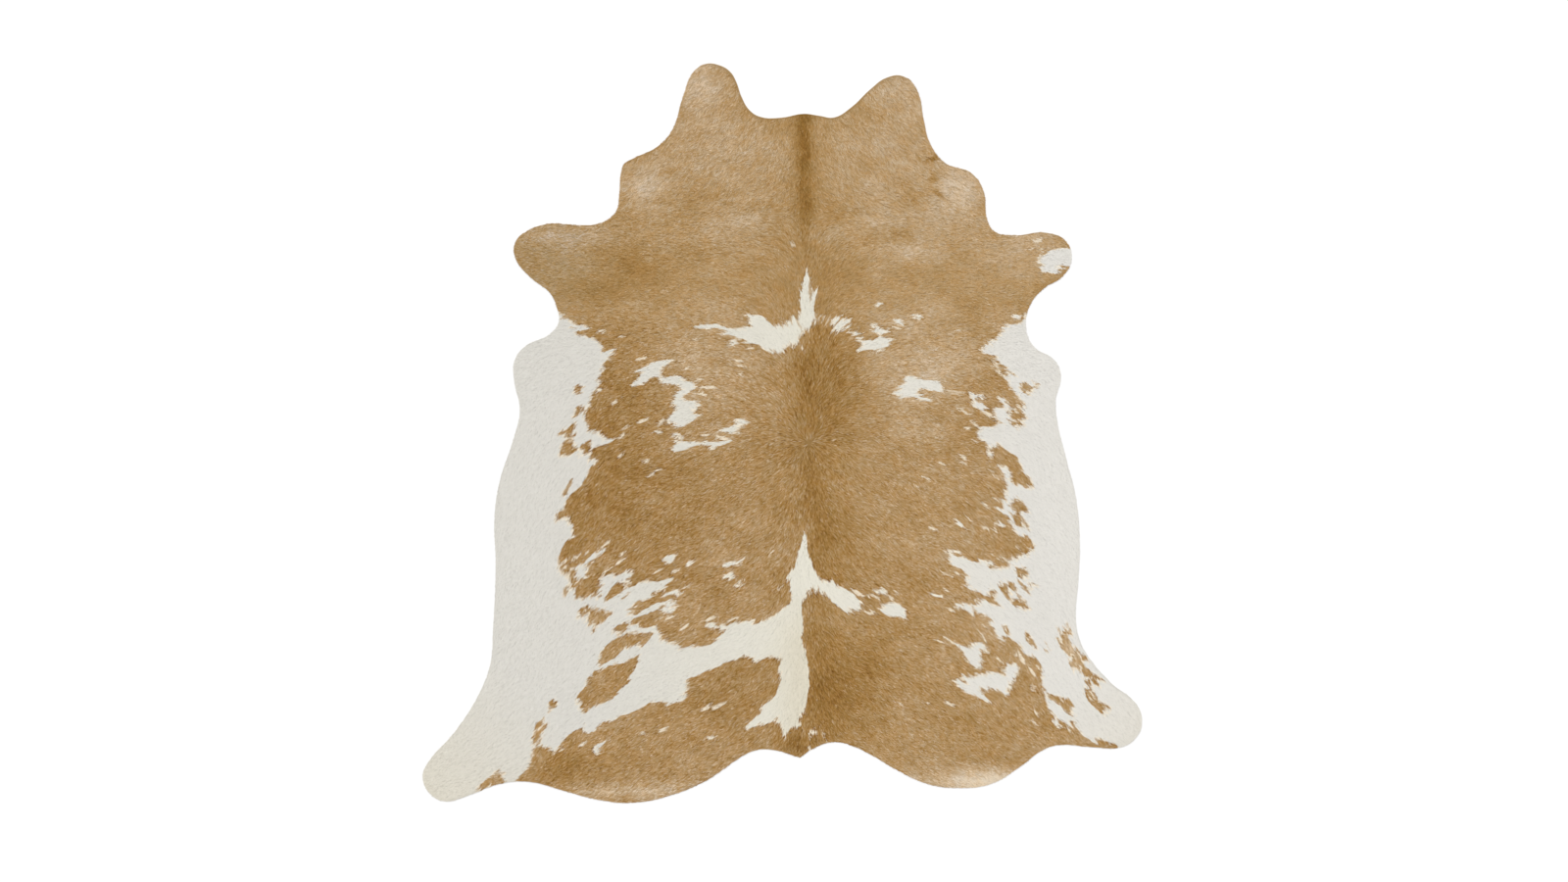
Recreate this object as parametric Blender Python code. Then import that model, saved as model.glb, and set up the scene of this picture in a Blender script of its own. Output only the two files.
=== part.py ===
"""A hair-on cowhide rug, lying flat: one skin in its whole natural outline, with its coat lying on it.

Metres, +Z up. The neck points to +Y, the tail root to -Y, and the hair side is up. The origin is on the
floor, at the middle of the outline's box.
"""
import math
from collections import namedtuple

import bmesh
import bpy
from mathutils import Vector

# Driving dimensions of the real hide.
HIDE_LENGTH = 2.265          # from the top of the neck to the lowest point of the rump
LEATHER_THICKNESS = 0.0018   # shaved hair-on leather
COAT_AT_EDGE = 0.0014        # depth of the lying hair at the trimmed edge
COAT_ON_FLANK = 0.0032       # depth of the lying hair over most of the skin
SPINE_RIDGE = 0.0014         # how much higher the hair stands along the spine
SPINE_RIDGE_WIDTH = 0.050    # how far that ridge reaches to each side
COAT_RIM = 0.016             # the band along the edge over which the hair thins out
FACET_PITCH = 0.080          # the pitch of the grid that the flat faces are cut into
CURVE_STEPS = 5              # straight steps between two neighbouring points of the outline
SAME_PLACE = 0.0001          # points closer than this are one point

# How the coat rises from the trimmed edge: shares of the rim's width and of the rise, from the edge inwards.
RimStep = namedtuple("RimStep", "inward upward")
RIM_STEPS = (RimStep(0.15, 0.45), RimStep(0.35, 0.35), RimStep(0.50, 0.20))

# The outline was read off a picture taken from straight above, x to the right and y down. These are the
# picture's own values: the hide's box in it, its spine line, and then each stretch of the cut edge, in the
# order in which they meet, anticlockwise on the hair side.
PICTURE_LEFT = 431.0
PICTURE_RIGHT = 1165.0
PICTURE_TOP = 64.8
PICTURE_BOTTOM = 818.8
PICTURE_SPINE = 820.0
PIXEL = HIDE_LENGTH / (PICTURE_BOTTOM - PICTURE_TOP)

Edge = namedtuple("Edge", "x y")
SMOOTH = "AUTO"
CORNER = "VECTOR"

LEFT_NECK_LOBE = (
    Edge(820, 116.2), Edge(797, 120.2), Edge(776, 119.3), Edge(765, 112.7), Edge(756.5, 98.5), Edge(751, 83),
    Edge(745, 73.2), Edge(734, 66.6), Edge(720, 65.3), Edge(708, 73.3), Edge(697, 99), Edge(686, 133),
    Edge(671, 149.5),
)
LEFT_CHEEK = (
    Edge(648, 161), Edge(637.5, 167), Edge(634, 176.5), Edge(632, 199), Edge(628.5, 216.5), Edge(613, 227.8),
)
LEFT_FORELEG = (
    Edge(590, 229.8), Edge(560, 228.5), Edge(540, 234.8), Edge(526, 247.5), Edge(526, 263), Edge(541, 282.5),
    Edge(562, 299.5), Edge(568.3, 313.5), Edge(570.6, 328), Edge(561, 341.3), Edge(537, 353),
    Edge(525.7, 367), Edge(525, 388),
)
LEFT_FLANK = (
    Edge(530.9, 419), Edge(524, 449), Edge(509.5, 494), Edge(504.7, 534), Edge(506.2, 572), Edge(503.5, 642),
)
LEFT_HIND_LEG = (
    Edge(500.4, 679), Edge(485, 716), Edge(461, 751), Edge(438, 777), Edge(431.6, 792.5), Edge(438.5, 809),
    Edge(454, 817.3), Edge(478, 811.2), Edge(512, 799), Edge(541, 797.5),
)
LEFT_RUMP = (
    Edge(575, 806.5), Edge(612, 816), Edge(645, 818.7), Edge(688, 810.2), Edge(724, 794.3), Edge(755, 772.8),
    Edge(768, 766), Edge(785, 764.4),
)
TAIL_ROOT = (
    Edge(816.3, 772.8),
)
RIGHT_RUMP = (
    Edge(828, 764.5), Edge(851, 756.9), Edge(875, 763), Edge(915, 785.5), Edge(948, 800), Edge(978, 803.6),
    Edge(1011, 799.6), Edge(1040, 782.6), Edge(1064, 765),
)
RIGHT_HIND_LEG = (
    Edge(1078, 760.2), Edge(1115, 762), Edge(1143, 762.3), Edge(1159, 752.5), Edge(1165, 735), Edge(1158, 717),
    Edge(1134, 697.3), Edge(1112, 672.5), Edge(1100.5, 651),
)
RIGHT_FLANK = (
    Edge(1097.3, 629), Edge(1100, 592), Edge(1101.4, 555), Edge(1097.5, 508), Edge(1087, 466), Edge(1078.5, 430),
)
RIGHT_FORELEG = (
    Edge(1077, 408), Edge(1082.2, 383), Edge(1076, 368), Edge(1054, 353.3), Edge(1046.5, 334), Edge(1051, 311),
    Edge(1065, 294), Edge(1084, 282), Edge(1093.2, 264), Edge(1087.5, 246.5), Edge(1067, 237.5),
    Edge(1035, 240.3), Edge(1015, 236.8),
)
RIGHT_NECK_LOBE = (
    Edge(1007, 224), Edge(1003.5, 195.5), Edge(991, 176.5), Edge(965, 167), Edge(949, 147), Edge(942, 121),
    Edge(936, 93), Edge(922, 78), Edge(905, 79.2), Edge(888, 91.3), Edge(869, 109.3), Edge(851, 120),
    Edge(836, 118.2),
)

OUTLINE = (
    (LEFT_NECK_LOBE, SMOOTH), (LEFT_CHEEK, SMOOTH), (LEFT_FORELEG, SMOOTH), (LEFT_FLANK, SMOOTH),
    (LEFT_HIND_LEG, SMOOTH), (LEFT_RUMP, SMOOTH), (TAIL_ROOT, CORNER), (RIGHT_RUMP, SMOOTH),
    (RIGHT_HIND_LEG, SMOOTH), (RIGHT_FLANK, SMOOTH), (RIGHT_FORELEG, SMOOTH), (RIGHT_NECK_LOBE, SMOOTH),
)

HAIR_TAN = (0.47, 0.31, 0.15, 1.0)


def place(edge):
    """The real place, in metres from the middle of the hide's box, of a point read off the picture."""
    middle_x = (PICTURE_LEFT + PICTURE_RIGHT) / 2
    middle_y = (PICTURE_TOP + PICTURE_BOTTOM) / 2
    return Vector(((edge.x - middle_x) * PIXEL, (middle_y - edge.y) * PIXEL, 0.0))


def clear_scene():
    for thing in list(bpy.data.objects):
        bpy.data.objects.remove(thing, do_unlink=True)


def outline_curve(height):
    """The hide's cut edge as one closed flat curve, filled and as thick as the given height."""
    curve = bpy.data.curves.new("hide_outline", "CURVE")
    curve.dimensions = "2D"
    curve.fill_mode = "BOTH"
    curve.resolution_u = CURVE_STEPS
    curve.extrude = height / 2
    spline = curve.splines.new("BEZIER")
    spline.use_cyclic_u = True
    marks = [(place(edge), handle) for stretch, handle in OUTLINE for edge in stretch]
    spline.bezier_points.add(len(marks) - 1)
    for point, (spot, handle) in zip(spline.bezier_points, marks):
        point.co = spot
        point.handle_left_type = handle
        point.handle_right_type = handle
    outline = bpy.data.objects.new("hide_outline", curve)
    outline.location.z = height / 2
    bpy.context.scene.collection.objects.link(outline)
    bpy.context.view_layer.update()
    return outline


def mesh_from(outline):
    """The curve's filled shape as a bmesh in world space, with its caps welded to its wall."""
    graph = bpy.context.evaluated_depsgraph_get()
    mesh = bpy.data.meshes.new_from_object(outline.evaluated_get(graph))
    shape = bmesh.new()
    shape.from_mesh(mesh)
    bmesh.ops.transform(shape, matrix=outline.matrix_world, verts=shape.verts)
    bmesh.ops.remove_doubles(shape, verts=shape.verts, dist=SAME_PLACE)
    bpy.data.objects.remove(outline, do_unlink=True)
    bpy.data.meshes.remove(mesh)
    return shape


def centre_on_origin(shape):
    """Slides the shape so that the middle of its outline's box is on the origin, and returns the slide."""
    xs = [vert.co.x for vert in shape.verts]
    ys = [vert.co.y for vert in shape.verts]
    slide = Vector((-(min(xs) + max(xs)) / 2, -(min(ys) + max(ys)) / 2, 0.0))
    bmesh.ops.translate(shape, verts=shape.verts, vec=slide)
    return slide


def merge_cap(shape, side):
    """Turns the triangles of the top cap (side 1) or of the underside (side -1) into one face."""
    cap = [face for face in shape.faces if face.normal.z * side > 0.9]
    merged = bmesh.ops.dissolve_faces(shape, faces=cap)
    return merged["region"][0]


def thin_the_rim(shape, top):
    """Steps the coat down towards the trimmed edge, so that the underside stays the widest face."""
    rise = COAT_ON_FLANK - COAT_AT_EDGE
    for step in RIM_STEPS:
        bmesh.ops.inset_region(
            shape, faces=[top], thickness=COAT_RIM * step.inward, depth=0.0, use_even_offset=True,
            use_boundary=True,
        )
        bmesh.ops.translate(shape, verts=top.verts, vec=(0, 0, rise * step.upward))


def cut_into_facets(shape):
    """Cuts the wide flat faces along a square grid with the origin in the middle of a square."""
    reach_x = (PICTURE_RIGHT - PICTURE_LEFT) / 2 * PIXEL
    reach_y = HIDE_LENGTH / 2
    for axis, reach in ((Vector((1, 0, 0)), reach_x), (Vector((0, 1, 0)), reach_y)):
        count = math.floor(reach / FACET_PITCH)
        for number in range(-count, count):
            spot = axis * (number + 0.5) * FACET_PITCH
            everything = shape.verts[:] + shape.edges[:] + shape.faces[:]
            bmesh.ops.bisect_plane(
                shape, geom=everything, dist=SAME_PLACE / 10, plane_co=spot, plane_no=axis,
            )


def raise_the_spine(shape, spine_x):
    """Lifts the coat's top face along the spine, where the hair is longer and stands up more."""
    for vert in shape.verts:
        if vert.co.z > LEATHER_THICKNESS + COAT_ON_FLANK - SAME_PLACE:
            across = (vert.co.x - spine_x) / SPINE_RIDGE_WIDTH
            vert.co.z += SPINE_RIDGE * math.exp(-across * across)


def hair_material():
    material = bpy.data.materials.new("hair_on_hide")
    material.use_nodes = True
    shader = material.node_tree.nodes["Principled BSDF"]
    shader.inputs["Base Color"].default_value = HAIR_TAN
    shader.inputs["Roughness"].default_value = 0.6
    shader.inputs["Metallic"].default_value = 0.0
    return material


def make_hide(collection):
    wall = LEATHER_THICKNESS + COAT_AT_EDGE
    shape = mesh_from(outline_curve(wall))
    slide = centre_on_origin(shape)
    merge_cap(shape, -1)
    thin_the_rim(shape, merge_cap(shape, 1))
    cut_into_facets(shape)
    raise_the_spine(shape, place(Edge(PICTURE_SPINE, PICTURE_TOP)).x + slide.x)
    bmesh.ops.triangulate(shape, faces=shape.faces)
    bmesh.ops.recalc_face_normals(shape, faces=shape.faces)
    mesh = bpy.data.meshes.new("hide")
    shape.to_mesh(mesh)
    shape.free()
    mesh.materials.append(hair_material())
    mesh.shade_smooth()
    mesh.set_sharp_from_angle(angle=math.radians(40))
    hide = bpy.data.objects.new("hide", mesh)
    collection.objects.link(hide)
    return hide


clear_scene()
rug = bpy.data.collections.new("cowhide_rug")
bpy.context.scene.collection.children.link(rug)
make_hide(rug)
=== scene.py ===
"""The looks of a hair-on cowhide rug: its leather, its undercoat, and the short hair that lies on it.

Metres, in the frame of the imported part: +Y to the neck, +Z out of the hair side.
"""
import math
from collections import namedtuple

import bmesh
import bpy
import numpy as np
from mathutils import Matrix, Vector


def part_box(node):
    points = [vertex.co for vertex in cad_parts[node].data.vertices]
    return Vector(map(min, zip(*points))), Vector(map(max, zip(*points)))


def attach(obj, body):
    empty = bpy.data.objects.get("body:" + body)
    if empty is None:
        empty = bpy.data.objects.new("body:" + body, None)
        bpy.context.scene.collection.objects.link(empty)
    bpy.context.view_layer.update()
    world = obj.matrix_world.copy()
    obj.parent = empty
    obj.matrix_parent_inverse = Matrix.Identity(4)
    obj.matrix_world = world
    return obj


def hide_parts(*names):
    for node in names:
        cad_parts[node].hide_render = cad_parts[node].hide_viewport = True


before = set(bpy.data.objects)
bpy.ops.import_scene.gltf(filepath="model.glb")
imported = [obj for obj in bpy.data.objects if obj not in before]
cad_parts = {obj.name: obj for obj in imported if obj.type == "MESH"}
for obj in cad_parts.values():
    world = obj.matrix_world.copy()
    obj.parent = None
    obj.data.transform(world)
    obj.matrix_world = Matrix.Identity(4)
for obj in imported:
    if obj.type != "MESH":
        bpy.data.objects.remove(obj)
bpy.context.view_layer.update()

HIDE_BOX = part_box("hide")

# The picture was taken from straight above, x to the right and y down. These are its own values.
PICTURE_WIDTH = 1600.0
PICTURE_HEIGHT = 900.0
PICTURE_MIDDLE_X = 798.3     # the middle of the hide's box in the picture
PICTURE_MIDDLE_Y = 441.8
PICTURE_SPINE = 820.0        # the line of the spine, on which the hair stands highest
HIDE_LENGTH = 2.265          # from the top of the neck to the lowest point of the rump
PICTURE_LENGTH = 754.0       # the same length in the picture
PIXEL = HIDE_LENGTH / PICTURE_LENGTH

# Depths, from the floor up.
LEATHER_THICKNESS = 0.0018
COAT_AT_EDGE = 0.0014
COAT_ON_FLANK = 0.0032
SPINE_RIDGE = 0.0014
SPINE_RIDGE_WIDTH = 0.050
COAT_RIM = 0.016             # the band along the edge over which the hair thins out
UNDERCOAT_SHARE = 0.50       # how much of the coat's depth is packed underhair
UNDERCOAT_PITCH = 0.020      # the grid of the undercoat's surface
UNDERCOAT_RIM = (0.02, 0.13, 0.35, 0.50)    # the widths of the steps along its edge, as shares of the rim
UNDERCOAT_SIZE = 0.9996      # it is a little smaller than the leather, to keep their walls apart
EDGE_ROUNDING = 0.0004       # of the leather's cut edge
SHARP_ANGLE = math.radians(60)
SAME_PLACE = 0.00001         # points closer than this are one point
FLAT_WITHIN = 0.0001         # points no higher than this above the floor are on the underside

# The locks: each is a flat tuft of a few hairs, pointed at both ends.
LOCK_PITCH = 0.00268         # from root to root
LOCK_STREW = 0.42            # how far a root may stray from the even grid, in pitches
LOCK_LENGTH = 0.0175
LOCK_WIDTH = 0.0022
LENGTH_SPREAD = (0.75, 1.25)
WIDTH_SPREAD = (0.8, 1.2)
HEIGHT_SPREAD = (0.8, 1.0)
TURN_SPREAD = 0.22           # how far single locks turn away from the others, in radians
ROLL_SPREAD = 0.16           # and how far they roll about their own length
LOCK_OVERHANG = 0.0015       # how far a tip may reach past the cut edge
TRIMMED_WITHIN = 1.6         # roots this many lengths from the cut edge may have tips past it
TRIM_STEP = 0.05             # locks are trimmed in steps of this share of their length, from the tip inwards
TRIM_SHARES = np.linspace(0.25, 1.0, 16)[::-1]
TRIMMED_WIDTH = 0.6          # how much of its width a lock keeps when it is trimmed to nothing
LOCKS_IN_STRIP = 65000
SEEN_SHARE = 0.72            # the part of a lock that shows: this far from its root to its tip
SEEN_SPREAD = 0.18
FRAY_REACH = 0.012           # how far one colour runs out over the other in pointed tufts
FINE_FRAY_SHARE = 0.6
CLUMP_SLANT = 0.0022         # how far the tips of locks lean to the middle of their clump
CLUMP_RISE = 0.14            # how much higher locks lie there, as a share of their height
CLUMP_LIFT = 0.06            # and how much paler they are
EDGE_BLUR = 0.002            # over how much of the hair's length one colour turns into the other
BORDER_REACH = 0.006         # how far along the hair a marking's border reaches to each side
BORDER_SHADE = 0.32          # painted shade: how much darker the tan is in that border
BORDER_HIGHLIGHT = 0.90          # and how much of the strokes' cream the white has there, as a painted highlight
EDGE_SHADE = 0.18            # painted shade: how much darker the hair is at the cut edge, and how far in that reaches
EDGE_SHADE_REACH = 0.002

# A lock's four corners, its root, its two sides and its tip: how far along it each is, which side it is on,
# how much of the lock's width and height it has, and how bright it is in tan and in white hair. That
# brightness
# is painted shade and light: darkest at the root, under the locks that lie over it, and palest at the tip.
Corner = namedtuple("Corner", "along side width rise tan white")
LOCK_CORNERS = (
    Corner(along=0.0, side=1, width=0.0, rise=-0.15, tan=(0.70, 0.64, 0.52), white=0.90),
    Corner(along=0.45, side=-1, width=1.0, rise=0.66, tan=(0.96, 0.94, 0.90), white=0.98),
    Corner(along=0.45, side=1, width=1.0, rise=0.66, tan=(0.96, 0.94, 0.90), white=0.98),
    Corner(along=1.0, side=1, width=0.0, rise=1.0, tan=(1.05, 1.06, 1.08), white=1.02),
)
LOCK_TURNS = np.array([0, 1, 2, 1, 3, 2])   # the corners of a lock's two triangles, in turn

# Noise drawn out along the hair: how wide and how long its streaks are. The hair falls into clumps, and one
# colour frays out over the other.
Streaks = namedtuple("Streaks", "pitch length seed")
CLUMPS = Streaks(pitch=0.0055, length=0.016, seed=21)
FRAY = Streaks(pitch=0.0056, length=0.022, seed=22)
FINE_FRAY = Streaks(pitch=0.0028, length=0.022, seed=23)
STREAK_STEPS = 7

# Noise in soft blobs: how strong it is and how wide the blobs are. Swirls turn the hair, in radians, and
# clouds shift its tone, or its red, green and blue.
Noise = namedtuple("Noise", "size pitch seed")
BROAD_SWIRLS = Noise(size=0.12, pitch=0.11, seed=11)
MIDDLE_SWIRLS = Noise(size=0.16, pitch=0.035, seed=12)
SMALL_SWIRLS = Noise(size=0.16, pitch=0.016, seed=13)
SMALL_SWIRL_STRETCH = (1.0, 1.6)
BROAD_CLOUDS = Noise(size=0.09, pitch=0.055, seed=33)
BROAD_CLOUD_STRETCH = (0.6, 1.0)
SMALL_CLOUDS = Noise(size=0.05, pitch=0.022, seed=34)
WARM_CLOUDS = Noise(size=1.0, pitch=0.016, seed=35)
WARM_SHIFT = (0.03, -0.01, -0.08)

# The line down the back from which the hair lies away to each side.
Bend = namedtuple("Bend", "y x")
HAIR_PARTING = (Bend(110, 820), Bend(452, 826), Bend(560, 822), Bend(770, 821))

# How the hair lies, on both sides alike. It points outwards from the parting, and slopes by so many degrees
# below level. On the back it points straight down, but straight up between the two whorls, and both fade out
# sideways into the slope of the flank. That one turns into the slope of the belly, further out.
UPPER_WHORL = 220.0          # how far down the picture each whorl is, in its pixels
LOWER_WHORL = 452.0
WHORL_SIZE = 28.0
DOWNWARD_REACH = 30.0        # how far out from the parting the steep hair fades, in the picture's pixels
UPWARD_REACH = 46.0
FLANK_ENDS = 150.0           # where the flank's slope starts to turn into the belly's, and where it ends
BELLY_STARTS = 270.0
Slope = namedtuple("Slope", "y flank belly")
SIDE_SLOPES = (
    Slope(y=150, flank=40, belly=50), Slope(y=250, flank=5, belly=5), Slope(y=330, flank=5, belly=10),
    Slope(y=420, flank=10, belly=55), Slope(y=520, flank=28, belly=60), Slope(y=680, flank=30, belly=60),
    Slope(y=790, flank=25, belly=30),
)
RUFFLED_ABOVE = 200.0        # down to here the hair is short and ruffled, and from further down it is smooth
SMOOTH_BELOW = 280.0
RUFFLED_SWIRLS = 0.26        # how much further its small swirls turn where it is ruffled
RUFFLED_SHORTER = 0.2        # and how much shorter it is there, as a share

# How much paler or darker single locks are than their neighbours, and where that is less, as shares.
LIFT_SPREAD = 0.20
RUFFLED_LIFT = 0.36          # less where the hair is ruffled
RIGHT_LIFT = 0.08            # less on the right of the spine, and more on the left
SPINE_FADE = 60.0            # over so many of the picture's pixels to each side
SLEEK_SHARE = 0.42           # less on the shoulders: how far down the picture that is, and how far it reaches
SLEEK_MIDDLE = 290.0
SLEEK_REACH = 45.0

# Tones of the tan hair, from the brown of the spine to the cream of the rump's edge, as they look in the
# picture, with the place of each on a scale from 0 to 1.
Tone = namedtuple("Tone", "at red green blue")
TAN_TONES = (
    Tone(-0.20, 102, 63, 17), Tone(0.00, 125, 85, 28), Tone(0.20, 147, 108, 47), Tone(0.45, 167, 131, 79),
    Tone(0.65, 182, 149, 102), Tone(0.85, 194, 168, 134), Tone(1.00, 208, 185, 156), Tone(1.25, 226, 209, 184),
)
TAN_MIDDLE = 0.555

# Soft patches of darker and paler tan: a middle, how far each reaches across and along it, in the
# picture's pixels, how far it is turned, in degrees, and how far it shifts the tone.
Patch = namedtuple("Patch", "x y across down turn shift")
# Most patches are the hide's own tone, but the darker ones on the left flank and the paler ones on the right
# are partly painted shade and painted light, as if lit from the right.
TAN_PATCHES = [Patch(*row) for row in (
    (820, 140, 9, 55, 0, -0.48), (822, 215, 9, 35, 0, -0.30), (822, 392, 10, 26, 0, -0.17),
    (828, 420, 34, 110, 0, -0.14), (842, 343, 16, 9, 0, -0.14), (833, 334, 4, 5, 0, -0.20),
    (828, 496, 12, 26, 0, -0.22), (838, 532, 13, 26, 0, -0.18), (828, 452, 16, 14, 0, 0.08),
    (832, 575, 14, 50, 0, -0.12), (838, 690, 26, 80, 0, -0.18), (848, 742, 34, 16, 0, -0.15),
    (811, 760, 20, 13, 0, -0.38), (858, 400, 26, 46, 0, -0.20), (858, 545, 24, 70, 0, -0.15),
    (868, 695, 34, 40, 0, -0.25), (915, 682, 34, 22, 0, -0.05), (860, 285, 26, 26, 0, -0.14),
    (610, 778, 60, 16, 0, -0.08), (600, 708, 20, 14, 0, -0.10),
    (612, 500, 34, 95, 0, -0.10), (640, 480, 72, 120, 0, -0.14), (583, 540, 18, 34, 0, -0.10),
    (615, 380, 22, 30, 0, -0.10), (622, 285, 60, 42, 0, -0.11), (620, 322, 24, 14, 0, 0.10),
    (570, 790, 30, 18, 0, -0.12), (575, 762, 26, 20, 0, -0.08), (735, 705, 70, 32, 0, -0.09),
    (940, 600, 24, 20, 0, -0.12), (900, 480, 24, 26, 0, -0.10), (980, 285, 26, 22, 0, -0.08),
    (725, 385, 46, 75, 0, 0.21), (690, 320, 60, 26, 0, 0.09), (945, 375, 50, 46, 0, 0.26),
    (940, 318, 40, 20, 0, 0.08), (925, 480, 62, 110, 0, 0.09), (950, 280, 80, 60, 0, 0.05),
    (980, 640, 24, 24, 0, 0.12), (1020, 640, 22, 22, 0, 0.20), (1040, 762, 30, 16, 0, 0.11),
    (985, 802, 60, 12, 0, 0.32), (1000, 792, 60, 12, 0, 0.36), (1022, 800, 26, 9, 0, 0.58),
    (1090, 662, 9, 24, -25, 0.34), (645, 808, 70, 9, 0, 0.30),
    (755, 170, 60, 56, 0, 0.17), (890, 170, 70, 60, 0, 0.10), (712, 120, 40, 60, 0, 0.09),
    (915, 130, 30, 50, 0, 0.10), (716, 82, 26, 34, 0, 0.32), (914, 92, 30, 24, 0, 0.18),
    (937, 112, 12, 36, 0, 0.12), (755, 238, 46, 20, 0, 0.10), (1000, 243, 40, 14, 0, 0.10),
    # The thin dark patches at (951, 162.5) and (958.5, 198.5) are painted shade in the creases of the right
    # jowl.
    (655, 192, 24, 30, 0, 0.27), (980, 192, 24, 30, 0, 0.38), (951, 162.5, 11, 2.4, -12, -0.60),
    (953, 182, 5, 5, 0, -0.36), (958.5, 198.5, 8, 2.4, 41, -0.50), (963, 192, 8, 4, 38, 0.14),
    (585, 240, 60, 14, 0, 0.10), (1068, 245, 26, 22, 0, 0.20), (1035, 270, 30, 26, 0, 0.14),
    (722, 201, 30, 7, -4, -0.16), (770, 212, 22, 5, 4, -0.14), (681, 177, 10, 5, 0, -0.16),
    (713, 139, 12, 7, 0, -0.12), (673, 204, 6, 6, 0, -0.18), (636, 256, 22, 16, 0, -0.10),
    (745, 227, 26, 8, 0, 0.12), (752, 184, 20, 7, 0, 0.08), (690, 153, 10, 9, 0, 0.12),
    (920, 240, 12, 7, 0, -0.18), (930, 203, 16, 7, -10, -0.17), (892, 228, 22, 12, 0, 0.10),
    (930, 256, 14, 6, 0, 0.10), (866, 216, 20, 6, 0, -0.08), (890, 148, 24, 9, 0, 0.08),
    (820, 225, 230, 120, 0, 0.045), (985, 248, 90, 36, 0, 0.05), (860, 608, 26, 22, 0, 0.07),
    (700, 205, 40, 50, 0, 0.04), (925, 215, 40, 90, 0, 0.045), (800, 168, 50, 26, 0, -0.04),
)]
DULL_FORELEG = Patch(564, 270, 50, 48, 0, 1)
DULL_SHIFT = (0.00, 0.11, 0.38)    # how much more red, green and blue the greyer tan there has, as shares

# Tones of the white hair: the warm white along the middle, the cooler whites of the two bellies, and the
# cream of the column by the tail and of fine strokes. The left belly's greyer white and the right's paler one
# are painted shade and painted light, as if lit from the right. Distances are in the picture's pixels.
WHITE_MIDDLE = (228, 224, 210)
WHITE_LEFT = (218, 215, 207)
WHITE_RIGHT = (224, 221, 214)
WHITE_TAIL = (221, 214, 195)
WHITE_STROKE = (238, 226, 204)
WHITE_BLEND = 220.0          # how far from the spine the belly's tone takes over
TAIL_BLEND = 27.5            # how far from the spine the column's cream fades
TAIL_STARTS = 600.0          # how far down the picture it starts, and over how much it grows to full
TAIL_GROWS = 60.0
LEG_CREAM = 0.6              # how much of it the hind legs have: more and more downwards and outwards, and
LEG_LINE = 960.0             # full at this height even on the spine
LEG_GROWS = 200.0
WHITE_LIFT = 0.035           # by what share white locks are brighter for each unit of lift
WHITE_UNDERHAIR = 0.16       # how much brighter the underhair is where it is white, as light gets into it

# Each lock's place on its two maps: a stretch of one of many tracks of hairs, and a square cell.
STRAND_TRACKS = 400
STRAND_PITCH = 1.7           # from track to track, in locks' widths
STRAND_LENGTH = 9.0          # of each track, in locks' lengths
BAKE_CELLS = 256             # in a row, and in a column
BAKE_MARGIN = 0.16           # round a lock in its cell

# Materials, floor, light and camera.
NOISE_LOW = 0.25             # nearly all of a noise pattern lies between these two
NOISE_HIGH = 0.75
SUEDE_CLOUDS = ((0.3, (176, 158, 134)), (0.7, (205, 190, 168)))    # each tone, and its place in the noise
FLOOR_REACH = 30.0           # from its middle to its edges
FLOOR_COLOUR = (0.93, 0.93, 0.93, 1)
SKY_STRENGTH = 0.80
SUN_STRENGTH = 1.3
SUN_WIDTH = math.radians(25)
SUN_FROM = (-0.2, 0.6, 1.0)  # the way to the sun
CAMERA_HEIGHT = 12.0
SENSOR_WIDTH = 36.0          # in millimetres

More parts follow.
